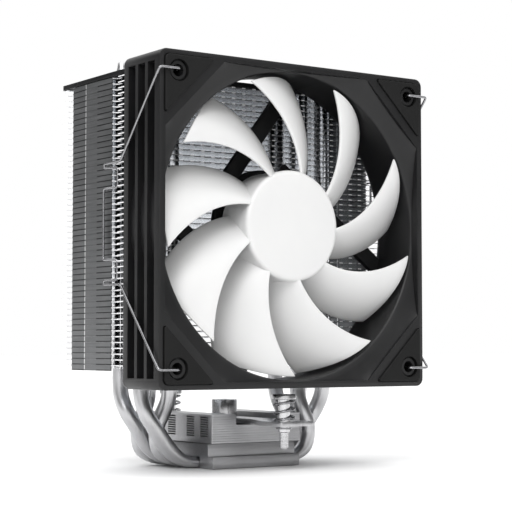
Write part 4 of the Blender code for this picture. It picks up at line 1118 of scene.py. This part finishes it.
def make_floor():
    """Plain pale floor, just under the base."""
    nothing_selected()
    bpy.ops.mesh.primitive_grid_add(x_subdivisions=4, y_subdivisions=4, size=12, location=(0, 0, -0.0002))
    floor = bpy.context.object
    floor.name = "floor"
    pale = bpy.data.materials.new("floor_finish")
    pale.use_nodes = True
    shader = pale.node_tree.nodes["Principled BSDF"]
    shader.inputs["Base Color"].default_value = (0.93, 0.93, 0.93, 1)
    shader.inputs["Roughness"].default_value = 1.0
    shader.inputs["Specular IOR Level"].default_value = 0.0
    floor.data.materials.append(pale)


def make_lamp():
    """One soft key light from the upper left."""
    nothing_selected()
    place = Vector((-0.8, -0.8, 0.9))
    bpy.ops.object.light_add(type='AREA', location=place)
    light = bpy.context.object
    light.name = "key"
    light.data.shape = 'RECTANGLE'
    light.data.size = light.data.size_y = 0.6
    light.data.energy = 7
    light.rotation_euler = (Vector((0, -0.01, 0.085)) - place).to_track_quat('-Z', 'Y').to_euler()


def make_world():
    """A white room: bright overhead, in front and far behind, dimmer at the two sides."""
    world = bpy.data.worlds.new("studio")
    world.use_nodes = True
    nodes, links = world.node_tree.nodes, world.node_tree.links

    def ease(value, *limits):
        """Brightness that eases between two values as the direction turns."""
        node = nodes.new('ShaderNodeMapRange')
        node.interpolation_type = 'SMOOTHSTEP'
        for name, limit in zip(('From Min', 'From Max', 'To Min', 'To Max'), limits):
            node.inputs[name].default_value = limit
        links.new(value, node.inputs['Value'])
        return node.outputs[0]

    place = nodes.new('ShaderNodeTexCoord')
    split = nodes.new('ShaderNodeSeparateXYZ')
    links.new(place.outputs['Generated'], split.inputs[0])
    facing = nodes.new('ShaderNodeVectorMath')
    facing.operation = 'DOT_PRODUCT'
    links.new(place.outputs['Generated'], facing.inputs[0])
    facing.inputs[1].default_value = (0.55, 0.83, 0.0)
    level = ease(math_node(nodes, links, 'ABSOLUTE', facing.outputs['Value']), 0.45, 0.95, 0.20, 0.95)
    above = ease(split.outputs['Z'], 0.35, 0.75, 0.0, 1.8)
    seen = nodes.new('ShaderNodeLightPath')
    strength = math_node(nodes, links, 'MAXIMUM', level, above)
    strength = math_node(nodes, links, 'MAXIMUM', strength, seen.outputs['Is Camera Ray'])
    background = nodes["Background"]
    background.inputs['Color'].default_value = (1, 1, 1, 1)
    links.new(strength, background.inputs['Strength'])
    bpy.context.scene.world = world


def make_studio():
    """Camera, floor, room and light."""
    make_camera()
    make_floor()
    make_world()
    make_lamp()
    bpy.context.scene.view_settings.view_transform = 'Standard'


def main():
    make_studio()
    make_fan_frame()
    make_pads()
    make_rotor()
    make_motor()
    make_fins()
    make_cover()
    make_pipes()
    make_base_block()
    make_base_sink()
    make_bar()
    make_boss()
    make_mounting()
    make_clips()


main()
